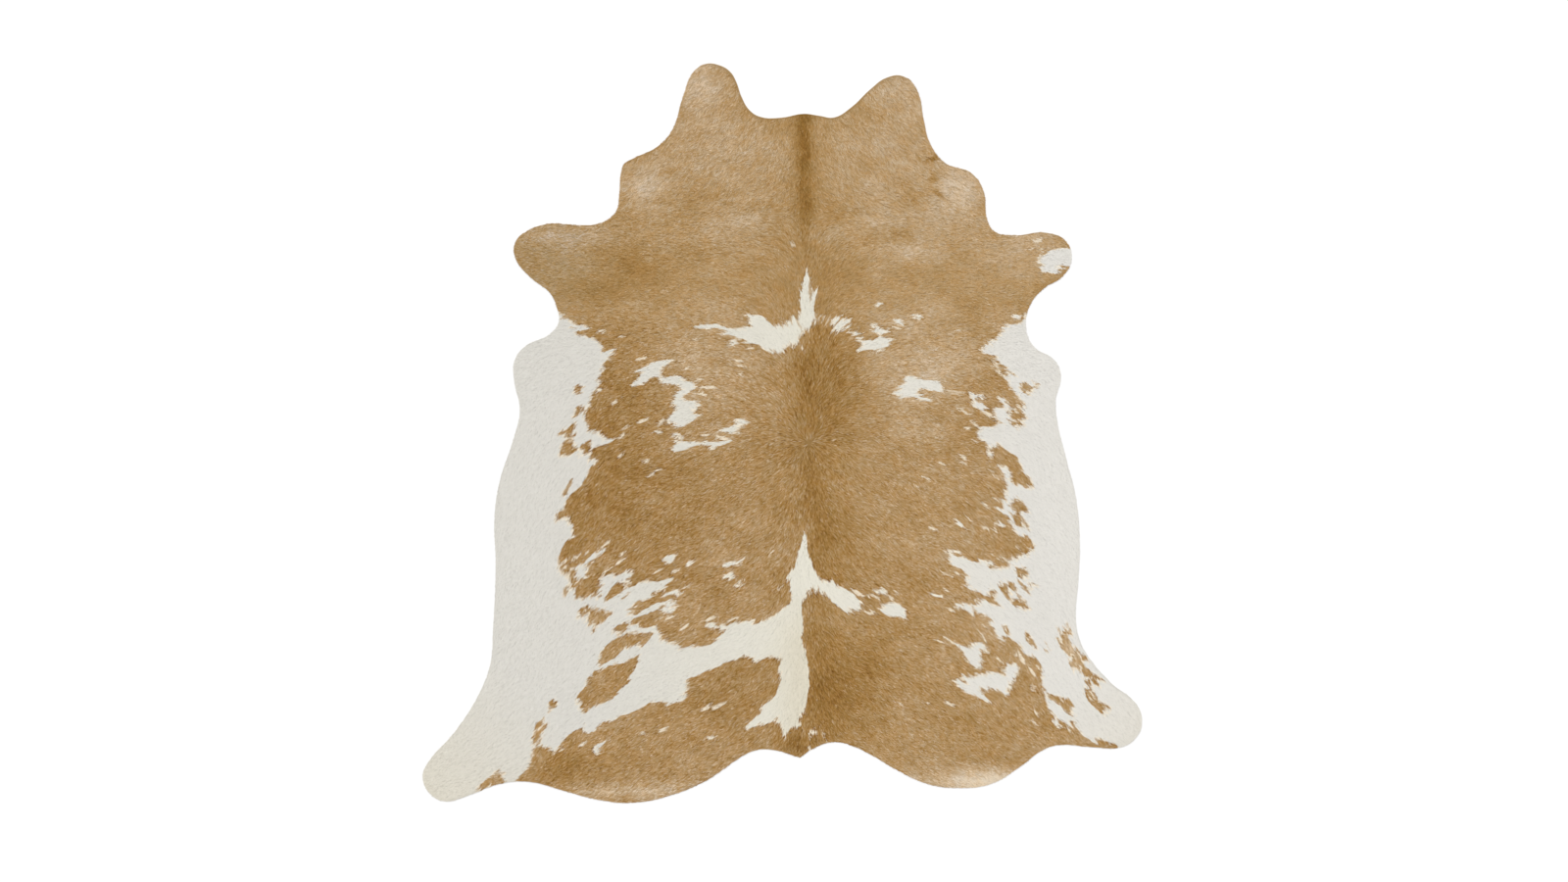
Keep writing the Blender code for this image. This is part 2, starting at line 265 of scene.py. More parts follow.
# The white markings and the tan islands in them, as outlines in the picture: each pair is x and y.
LEFT_BELLY_WHITE = (
    (380, 300), (569, 318), (574, 322), (578, 326), (585, 330), (598, 333), (602, 336), (588, 338), (592, 342),
    (600, 344), (606, 346), (611, 348), (612, 353), (613, 359), (618, 359), (624, 356.5), (627, 356),
    (624, 362), (620, 367), (615, 371), (613, 377), (612, 383), (610, 394), (607, 398), (603, 402), (603, 412),
    (600, 418), (597, 425), (598, 432), (600, 436), (603, 441), (606, 439), (612, 442), (618, 447), (628, 449),
    (620, 453), (612, 455), (606, 457), (604, 460), (601, 464), (603, 468), (607, 470), (607, 475), (602, 477),
    (600, 481), (598, 488), (592, 497), (584, 503), (580, 508), (575, 515), (576, 518), (574, 522), (566, 525),
    (567, 529), (578, 530), (581, 534), (584, 535), (584, 546), (587, 548), (585, 551), (578, 552), (575, 556),
    (571, 565), (570, 580), (574, 585), (580, 593), (583, 599), (587, 603), (586, 608), (592, 611), (597, 611),
    (603, 608), (610, 605), (611, 596), (613, 591), (620, 586), (630, 587), (637, 583), (643, 581), (644, 588),
    (641, 593), (639, 597), (640, 599), (647, 599), (651, 594), (657, 593), (667, 594.5), (674, 593),
    (681, 590), (687, 591), (683, 595), (677, 597), (675, 600), (673, 604), (666, 604), (665, 606.5),
    (668, 607.5), (664, 610.5), (660, 612.5), (655, 612.5), (650, 613.5), (647, 615.5), (645.5, 620),
    (641, 621), (640.5, 622.5), (646, 622), (645, 625), (648, 627.5), (652, 626.5), (655, 623.5),
    (661, 620.5), (665.5, 617.5), (670, 615.5), (675, 615), (681, 613), (688, 613), (687, 617), (685, 619.5),
    (688.5, 619.5), (686.5, 623), (688.5, 623.5), (684.5, 626), (679, 627), (675, 624.5), (674, 622),
    (669.5, 622), (663, 625.5), (659, 627.5), (653, 629), (646, 631), (645, 637), (649, 638), (655, 641),
    (662, 640), (668, 638), (670, 640), (673, 648), (673, 652),
    (680, 655), (689, 657), (692, 660), (696, 662), (701, 660), (710, 660), (720, 659.5), (730, 655),
    (731, 651), (737, 647), (737, 643.5), (730, 641), (720, 642), (716, 641), (720, 637), (725, 636),
    (739, 638), (749, 636), (760, 635), (767, 633.5), (770, 637), (778, 634), (787, 631), (790, 628),
    (801, 620), (806, 616.5), (808, 609.5), (806, 601), (807, 597), (803, 594), (802, 590), (806, 584),
    (811, 580), (813, 571), (815, 561), (818, 553), (821, 543), (824, 557), (824, 566), (828, 573), (830, 581),
    (835, 587), (838, 593), (844, 594), (850, 592.5), (853, 597), (859, 600), (866, 602.5), (874, 608),
    (879, 614), (881, 618), (878, 621.5), (872, 623), (871, 627), (865, 626.5), (861, 623.5), (858, 621),
    (851, 616.5), (847, 612), (844, 608), (837, 607.5), (836, 602), (832, 605.5), (830, 602), (826, 606.5),
    (822, 611), (818, 616.5), (818, 626), (820, 642), (817, 649), (819, 657.5), (823, 668), (825, 685),
    (826, 700), (824, 713), (821, 727), (815, 730), (815, 734), (818, 737), (816, 741), (810, 742), (805, 743),
    (806, 747), (803, 750), (799, 750), (796, 738), (790, 735), (778, 740), (770, 742), (762, 744), (763, 739),
    (768, 734), (773, 731), (776, 727), (775, 722), (780, 719), (786, 716), (790, 711), (793, 705), (795, 699),
    (797, 694), (795, 682), (797, 676), (795, 671), (790, 670), (780, 672), (775, 675), (770, 675), (768, 672),
    (758, 670), (745, 675), (738, 677), (730, 682), (722, 684), (707, 691), (701, 693), (700, 697), (699, 706),
    (700, 712), (697, 715), (688, 717), (683, 720), (678, 717), (668, 716), (660, 718), (655, 722), (647, 726),
    (640, 728), (631, 731), (626, 735), (622, 738), (617, 736), (612, 739), (610, 744), (606, 746), (600, 749),
    (597, 747), (593, 743), (588, 745), (582, 748), (578, 752), (574, 757), (570, 762), (563, 766), (558, 764),
    (551, 762), (545, 760), (543, 764), (543, 770), (540, 776), (541, 781), (537, 786), (531, 791), (525, 797),
    (525, 860), (380, 860),
)
RIGHT_BELLY_WHITE = (
    (1048, 320), (1045, 326), (1040, 330), (1036, 331.5), (1030, 330.5), (1027, 333), (1025, 337.5),
    (1022, 340), (1018, 344), (1013, 347), (1010, 350), (1006, 352), (1002, 358), (1005, 361.5), (1009, 361),
    (1013, 363), (1017, 362.5), (1017, 366.5), (1019, 371), (1022, 372), (1026, 374), (1029, 378), (1028, 386),
    (1030, 392), (1032, 399.5), (1036, 399), (1038, 402), (1041, 406), (1043, 410), (1046, 414), (1044, 418),
    (1045, 422.5), (1043.5, 427.5), (1041, 431), (1042, 437), (1039, 435), (1037, 439), (1034, 434),
    (1032, 428), (1030, 424), (1031.5, 417), (1030, 411), (1026, 408), (1021, 403), (1021, 408.5), (1023, 413),
    (1022, 417), (1019, 418), (1011, 417), (1015, 422.5), (1017.5, 431), (1016, 436.5), (1010, 436.5),
    (1003, 435.5), (999, 437), (999, 445), (1002, 449.5), (1005, 451.5), (1010, 459), (1004, 460.5),
    (1008, 464), (1011, 469), (1013, 466), (1011, 458), (1017, 456), (1018, 452), (1021, 453), (1023, 456.5),
    (1027, 460.5), (1032, 462), (1036, 465), (1039, 468.5), (1038, 470.5), (1042, 473), (1044, 478),
    (1044, 482), (1046.5, 486), (1049, 488), (1052, 487.5), (1053.5, 494.5), (1049, 496.5), (1041, 496),
    (1036, 496), (1034, 493), (1033, 485), (1031, 481), (1029.5, 477), (1026, 475.5), (1022, 479), (1024, 483),
    (1023, 487.5), (1022, 490), (1028, 493), (1030, 497), (1032, 499), (1028, 499), (1025, 506), (1024.5, 511),
    (1023, 517), (1019, 520), (1022, 523), (1026, 525.5), (1029.5, 527), (1031.5, 535), (1034, 539),
    (1037, 542.5), (1040, 547.5), (1045, 549.5), (1046, 547), (1050, 549), (1053.5, 553), (1053, 558),
    (1050, 561), (1053, 565), (1046, 566), (1042, 568), (1037, 569), (1033, 571), (1030, 574), (1026, 575),
    (1028, 578.5), (1020, 580), (1010, 579), (1006, 576.5), (1015, 576), (1012, 572), (1008, 571.5),
    (1002, 571.5), (994, 574), (989, 572), (986, 569), (974, 567), (972, 565), (979, 564), (981, 561.5),
    (975, 561), (970, 561.5), (967, 563.5), (969.5, 568), (969.5, 573.5), (974, 578.5), (981, 580),
    (984, 583), (986, 586), (986.5, 590), (985, 593), (989, 596), (984, 597.5), (986.5, 600), (992, 602.5),
    (1000, 604), (1002, 607), (1008, 608.5), (1010.5, 606.5), (1012.5, 603), (1016, 602), (1017, 604.5),
    (1015, 608), (1013, 611.5), (1019, 617), (1010, 616.5), (1007.5, 613.5), (999, 612), (995, 616.5),
    (989, 617), (982, 616.5), (975, 615), (974, 621), (982, 622), (988, 623.5), (991, 629), (994, 622),
    (999, 628), (1005, 629), (1009, 629), (1012, 632.5), (1010, 638), (1014, 640), (1017, 647), (1018, 652),
    (1022, 653.5), (1027, 652), (1030, 651), (1032, 653), (1036, 654.5), (1041, 659), (1044, 661.5),
    (1041, 662.5), (1043.5, 666.5), (1047, 669), (1057, 670), (1059, 673.5), (1062, 678), (1065, 683),
    (1062.5, 692), (1064.5, 703), (1066.5, 714), (1068, 721), (1073, 725.5), (1076.5, 729), (1075, 734),
    (1076.5, 740), (1079.5, 743), (1083, 741), (1081, 737), (1087, 737), (1090, 744), (1093, 737), (1098, 737),
    (1097, 741), (1101, 745.5), (1100, 747.5), (1105, 751), (1111, 754), (1115, 758), (1120, 759.5),
    (1118, 754), (1122, 755), (1129, 755.5), (1132, 758), (1131, 761), (1136, 758), (1141, 761.5),
    (1146, 790), (1240, 790), (1240, 320),
)
UPPER_CROSS_WHITE = (
    (823.5, 275), (820.5, 284), (818, 290), (815, 297.5), (817, 302), (815.5, 309.5), (818, 316.5),
    (815, 321), (813, 325), (809, 324), (806.5, 326.5), (802, 328), (798, 329), (794, 329), (790, 331),
    (784, 328.5), (781, 325.5), (777.5, 321), (768, 321), (763, 321.5), (761.5, 324), (762.5, 330.5),
    (760, 333), (754, 335), (743, 335), (738, 333), (733, 331), (727, 330.5), (719, 331), (704, 333),
    (710.5, 335), (717.5, 335.5), (724.5, 335), (730, 335), (736, 335.5), (739.5, 337.5), (736, 340.5),
    (732, 341.5), (741.5, 341.5), (750, 343), (744.5, 347.5), (741, 351), (741, 353), (745, 353), (748.5, 351),
    (752, 349), (756, 350), (760, 350.5), (770, 351), (775.5, 352), (778, 356), (782.5, 358.5), (789.5, 359),
    (796.5, 358.5), (798.5, 356), (801, 353), (806.5, 352.5), (811.5, 352.5), (814, 349), (816, 343),
    (818, 339), (825, 336), (827.5, 332), (834, 328), (832.5, 322), (830.5, 313.5), (832, 305), (834, 298),
    (834, 294.5), (830, 296), (827.5, 291), (825.5, 284),
)
CROSS_RIGHT_ARM = (
    ((848, 325.5), (856, 324), (868, 325), (866.5, 330.5), (865, 335), (861, 337.5), (854, 338.5), (850, 336),
     (851, 332), (850, 328)),
    ((866.5, 335), (870, 338), (874, 339.5), (880, 339.5), (876.5, 342), (870, 343.5), (867, 340)),
    ((873.5, 344), (880.5, 344), (882, 347), (888, 347), (895, 345.5), (897.5, 342), (904.5, 344.5),
     (910.5, 347.5), (904.5, 350.5), (907.5, 353), (901, 355), (899, 359.5), (894, 357.5), (886.5, 356.5),
     (880, 358), (878.5, 356), (880, 350)),
    ((891, 329), (900.5, 332), (905.5, 335), (904.5, 339), (899, 342), (890.5, 338.5), (893.5, 335),
     (890.5, 332)),
    ((892, 308.5), (903, 310), (899, 313), (895, 312)),
    ((914, 325.5), (918.5, 325.5), (921.5, 327.5), (926, 332.5), (918.5, 332), (912.5, 327.5)),
    ((927, 321.5), (933, 320.5), (940, 323), (938, 327), (933, 325), (930, 323)),
)
LEFT_FLANK_PATCHES = (
    ((642, 394), (645.5, 390.5), (649, 389), (650.5, 383), (653.5, 380), (647, 379), (655.5, 375),
     (662.5, 370.5), (671, 369), (677, 367), (683.5, 368.5), (678, 373.5), (674, 380), (675.5, 384),
     (681, 385), (685, 383.5), (693, 383.5), (696.5, 385), (699, 388.5), (705, 390), (710, 390),
     (710.5, 392.5), (707.5, 397), (703.5, 401), (698, 402.5), (696.5, 407), (702, 409), (710.5, 409),
     (712.5, 411.5), (710.5, 415), (710.5, 422), (713, 423.5), (710, 428.5), (703.5, 431.5), (698, 435),
     (692, 436.5), (686.5, 435.5), (680, 433.5), (678, 429.5), (683.5, 423.5), (686.5, 421), (688, 416.5),
     (686, 409.5), (688, 405), (685, 404), (690, 400.5), (693, 396), (691, 392.5), (683.5, 392.5), (678, 391),
     (674, 386), (668, 385), (665, 384.5), (661, 387.5), (657, 392.5), (651, 392.5), (645.5, 395)),
    ((667, 440), (672.5, 438.5), (674, 442), (669.5, 443.5)),
    ((689.5, 441), (693, 443), (694.5, 450.5), (701, 452), (708, 450.5), (716, 452), (723, 450.5),
     (732, 450.5), (744, 449.5), (737, 454.5), (730.5, 455.5), (729, 459.5), (723, 458), (726, 455.5),
     (720.5, 454.5), (713.5, 454.5), (705, 456), (698, 459.5), (691, 461.5), (685, 460.5), (685, 456),
     (688.5, 452), (689.5, 446), (685, 443.5)),
    ((733, 440), (736, 436.5), (741.5, 436.5), (747, 434), (749.5, 429.5), (753, 426.5), (758.5, 428),
     (763.5, 430.5), (756, 434), (753, 438.5), (753, 443.5), (746, 442)),
    ((674, 573), (677.5, 568.5), (683.5, 567), (690, 566.5), (688.5, 570.5), (685, 575), (679.5, 576.5)),
    ((700.5, 578), (699, 576), (703, 572), (706.5, 574), (704, 578)),
    ((734.5, 580), (738.5, 575), (744.5, 573), (751.5, 572), (758, 572), (753, 575), (757, 577), (750, 578.5),
     (744.5, 577), (741.5, 580), (737.5, 581)),
    ((737.5, 586), (743, 585.5), (753, 587.5), (748.5, 590.5), (738.5, 590.5)),
    ((750, 595.5), (757, 594.5), (760, 597), (757, 599.5), (751.5, 598)),
    ((579.5, 584.5), (582.5, 581.5), (590, 578), (594, 577.5), (599, 579.5), (599.5, 583.5), (596.5, 587),
     (600.5, 587.5), (599, 590.5), (594, 592), (587, 593), (585.5, 592.5), (591, 590.5), (585, 589),
     (587.5, 586), (588, 584), (583.5, 584)),
    ((618, 558.5), (617.5, 562.5), (613.5, 566.5), (607.5, 570), (604, 572), (599.5, 575), (595, 577.5),
     (592, 578), (596.5, 574), (599.5, 570), (604, 566), (607.5, 562.5), (610, 564), (613.5, 561)),
    ((673, 609.5), (677.5, 606.5), (683, 604), (688, 602), (693, 599.5), (691.5, 602), (694, 604.5),
     (695.5, 603.5), (695, 606.5), (692.5, 609), (690, 607), (685.5, 607), (680.5, 609), (675, 610.5)),
    ((608, 398), (612, 396), (613, 399), (609, 401)),
    ((604, 763), (610, 759), (617, 757), (612, 763), (611, 768), (609, 773), (606, 769)),
    ((590, 759), (596, 758), (595, 762), (591, 762)), ((565, 763), (571, 762), (572, 767), (566, 768)),
    ((651, 748), (655, 747), (655, 751), (652, 751)), ((722, 751), (729, 750), (730, 753), (723, 754)),
    ((824, 751), (829, 748), (834, 746), (833, 750), (828, 753)), ((839, 750), (842, 749), (841, 753)),
)
RIGHT_FLANK_PATCHES = (
    ((917, 407.5), (917, 403), (912, 401.5), (916, 397.5), (920, 392.5), (922, 387.5), (923, 384), (930, 383),
     (937, 385), (940.5, 387.5), (947, 387.5), (955.5, 388.5), (959.5, 391), (966, 397),
     (961, 400.5), (955.5, 399), (948.5, 399), (944, 396), (940, 397.5), (938.5, 401),
     (942.5, 404.5), (950, 408), (955.5, 410), (940, 408), (935.5, 405.5), (927, 404.5), (921.5, 406.5)),
    ((988.5, 401), (993.5, 401), (997.5, 404), (1003.5, 402.5), (1007.5, 406.5), (1006, 409.5), (1002, 408),
     (1000.5, 411), (1005, 413), (1007.5, 416.5), (1003.5, 420), (997.5, 417.5), (993, 414.5), (993, 409.5),
     (989.5, 405.5)),
    ((1034, 323), (1038, 320.5), (1043, 322), (1041, 326), (1036, 326.5)),
    ((895.5, 621), (900.5, 618), (903, 615), (910.5, 614.5), (917.5, 616.5), (923, 621), (925, 625),
     (925, 630.5), (918.5, 631.5), (910.5, 630.5), (904.5, 628), (899, 623.5)),
    ((889, 601), (896, 606.5), (904.5, 607), (904.5, 602.5), (900.5, 599), (896, 602.5)),
    ((948, 604), (954, 606.5), (968, 608), (961, 610), (955.5, 609.5), (951, 607)),
    ((975, 655.5), (982, 658.5), (986, 660.5), (992, 659.5), (993, 656), (1000, 655.5), (1004.5, 657),
     (1006, 661), (1004.5, 662.5), (1003, 669.5), (1001, 674), (1001.5, 685), (999, 682.5), (993, 681),
     (989.5, 676.5), (986, 671), (982, 667), (980, 662)),
    ((972, 694.5), (980.5, 693), (982, 688.5), (989, 692), (993, 689.5), (999.5, 689), (1004, 687),
     (1008.5, 684), (1014, 686), (1021, 688.5), (1025, 685), (1025, 680.5), (1029.5, 677.5), (1036.5, 677),
     (1040, 680.5), (1039, 687.5), (1036.5, 692), (1033.5, 697.5), (1031, 701.5), (1028.5, 706),
     (1029.5, 711), (1023.5, 708.5), (1021, 704.5), (1014, 703), (1007, 702.5), (1001, 707.5),
     (1009.5, 714.5), (1009, 718.5), (1004, 714.5), (997, 710), (991, 708.5), (985.5, 707.5), (983, 704),
     (978.5, 702), (977.5, 698)),
    ((1016, 537), (1019, 533.5), (1023, 534), (1027.5, 537.5), (1023, 539), (1019, 538)),
    ((974.5, 532), (978, 531), (981, 534), (986, 539), (982.5, 539.5), (976, 534.5)),
    ((1061.5, 261), (1067, 260), (1070, 257), (1075.5, 255), (1082.5, 253.5), (1120, 253), (1120, 273),
     (1092, 272), (1082, 271), (1084, 274), (1082.5, 277.5), (1077, 280), (1073, 279), (1068.5, 278.5),
     (1061.5, 280), (1063.5, 277.5), (1061.5, 273.5)),
)
TAN_ISLANDS = (
    ((586, 394), (590, 393), (594, 396), (593, 402), (589, 404), (586, 400)),
    ((585, 417), (589, 415), (592, 418), (591, 424), (587, 425)),
    ((585, 430), (586, 436), (583, 450), (588, 460), (583, 464), (577, 466), (572, 464), (573, 452),
     (577, 450), (574, 446), (571, 440), (574, 437), (580, 437)),
    ((591, 457), (596, 452), (600, 451), (604, 457), (603, 461), (598, 463), (592, 461)),
    ((589.5, 628), (590, 623), (594.5, 619.5), (599.5, 619), (601, 623), (604.5, 621), (608.5, 621),
     (611, 623.5), (615, 623.5), (617.5, 624.5), (625.5, 626), (621, 629), (617.5, 633.5), (612.5, 636),
     (607, 636), (603.5, 637.5), (599, 640.5), (598.5, 640), (601, 635.5), (599, 630), (595.5, 629),
     (592, 629)),
    ((603, 641), (608, 640), (607, 645), (604, 645)),
    ((626, 641), (630, 638), (636, 636), (640, 640), (637, 645), (630, 647)),
    ((618, 614), (618, 608), (622, 602), (627, 596), (632, 594), (637, 597), (638, 601), (633, 605),
     (626, 609)),
    ((611, 681), (611, 670), (617, 660), (625, 653), (633, 649), (640, 646), (655, 646), (665, 647.5),
     (661, 654.5), (656, 660), (643, 659), (637, 661), (633, 666), (627, 672), (620, 675)),
    ((588, 712), (592, 706), (597, 702), (600, 695), (602, 689), (607, 686), (616, 683), (621, 680),
     (630, 678), (641, 674), (651, 669), (652, 673), (646, 685), (642, 690), (640, 697), (636, 701),
     (630, 706), (625, 713), (620, 716), (605, 721), (600, 725), (594, 725), (592, 720)),
    ((559, 717), (563, 714), (567, 717), (566, 723), (561, 726)),
    ((551, 735), (559, 741), (551, 749), (553, 754), (550, 759), (545, 758), (543, 752), (545, 748),
     (543, 745), (545, 741)),
    ((488, 815), (488, 802), (494, 797), (500, 792), (504, 790), (508, 785), (511, 789), (515, 798)),
    ((750, 346), (756, 345), (760.5, 347), (757, 349.5), (751, 349)),
    ((996, 408), (1000, 406), (1003, 407), (1000, 411), (997, 411)),
    ((1042, 399.5), (1043, 393.5), (1046, 388.5), (1047.5, 392), (1054, 395), (1053, 400.5), (1049.5, 400),
     (1047.5, 402.5)),
    ((1030.5, 518), (1031, 514), (1032.5, 511), (1034.5, 514), (1036, 508), (1038, 511), (1041.5, 509),
     (1043.5, 514), (1049, 518.5), (1048, 522.5), (1042.5, 522), (1041.5, 525), (1042.5, 530), (1043.5, 535.5),
     (1040.5, 538.5), (1037, 537), (1034, 531), (1033, 525.5), (1036, 524), (1036, 519)),
    ((1036.5, 578.5), (1040.5, 580), (1047.5, 578), (1046, 582), (1048.5, 585), (1045, 592), (1040, 590),
     (1036.5, 585)),
    ((1019, 598.5), (1023, 597.5), (1028, 597), (1031, 604.5), (1029, 606), (1031, 610), (1031, 614.5),
     (1027.5, 611.5), (1025.5, 607.5), (1022, 604.5)),
    ((1027.5, 592), (1031.5, 594), (1036, 596), (1037.5, 600.5), (1034.5, 602.5), (1030, 600.5),
     (1028.5, 596.5)),
    ((1032.5, 612), (1037, 614), (1041.5, 612.5), (1043.5, 616), (1049, 613.5), (1050, 617), (1047, 623),
     (1044.5, 621), (1038, 620), (1034, 617.5)),
    ((1047.5, 647.5), (1050.5, 647), (1053, 652), (1056, 659.5), (1053, 660), (1048.5, 655)),
    ((1025, 640), (1028.5, 638.5), (1031.5, 649), (1028.5, 650)),
    ((1085, 642), (1090, 641), (1095, 644.5), (1093.5, 648), (1089, 646)),
    ((1082.5, 649), (1085.5, 647), (1090, 646.5), (1092, 652), (1094, 660), (1097, 665), (1101, 664.5),
     (1107, 669), (1111, 673.5), (1104, 675), (1107, 679), (1111, 685),
     (1121, 690.5), (1129.5, 696), (1119.5, 693), (1121, 700), (1124, 702.5), (1115, 697.5), (1114, 703),
     (1119.5, 711.5), (1119.5, 716.5), (1129, 718), (1134, 722), (1126.5, 725.5), (1124.5, 729), (1118, 723),
     (1111, 716), (1107, 707), (1111, 701.5), (1107.5, 696), (1115, 693), (1105.5, 688.5), (1100, 683.5),
     (1094, 683), (1091.5, 679), (1095.5, 672), (1088.5, 668), (1082, 661)),
    ((1069, 707.5), (1076, 710), (1086, 713.5), (1088.5, 711), (1093, 715), (1095.5, 718.5), (1095.5, 728.5),
     (1091.5, 730), (1087, 727), (1084.5, 721.5), (1078.5, 717), (1070, 713)),
    ((982, 695), (986, 694), (986, 697), (983, 697)),
)
WHITE_OUTLINES = (
    LEFT_BELLY_WHITE, RIGHT_BELLY_WHITE, UPPER_CROSS_WHITE, *CROSS_RIGHT_ARM, *LEFT_FLANK_PATCHES,
    *RIGHT_FLANK_PATCHES,
)

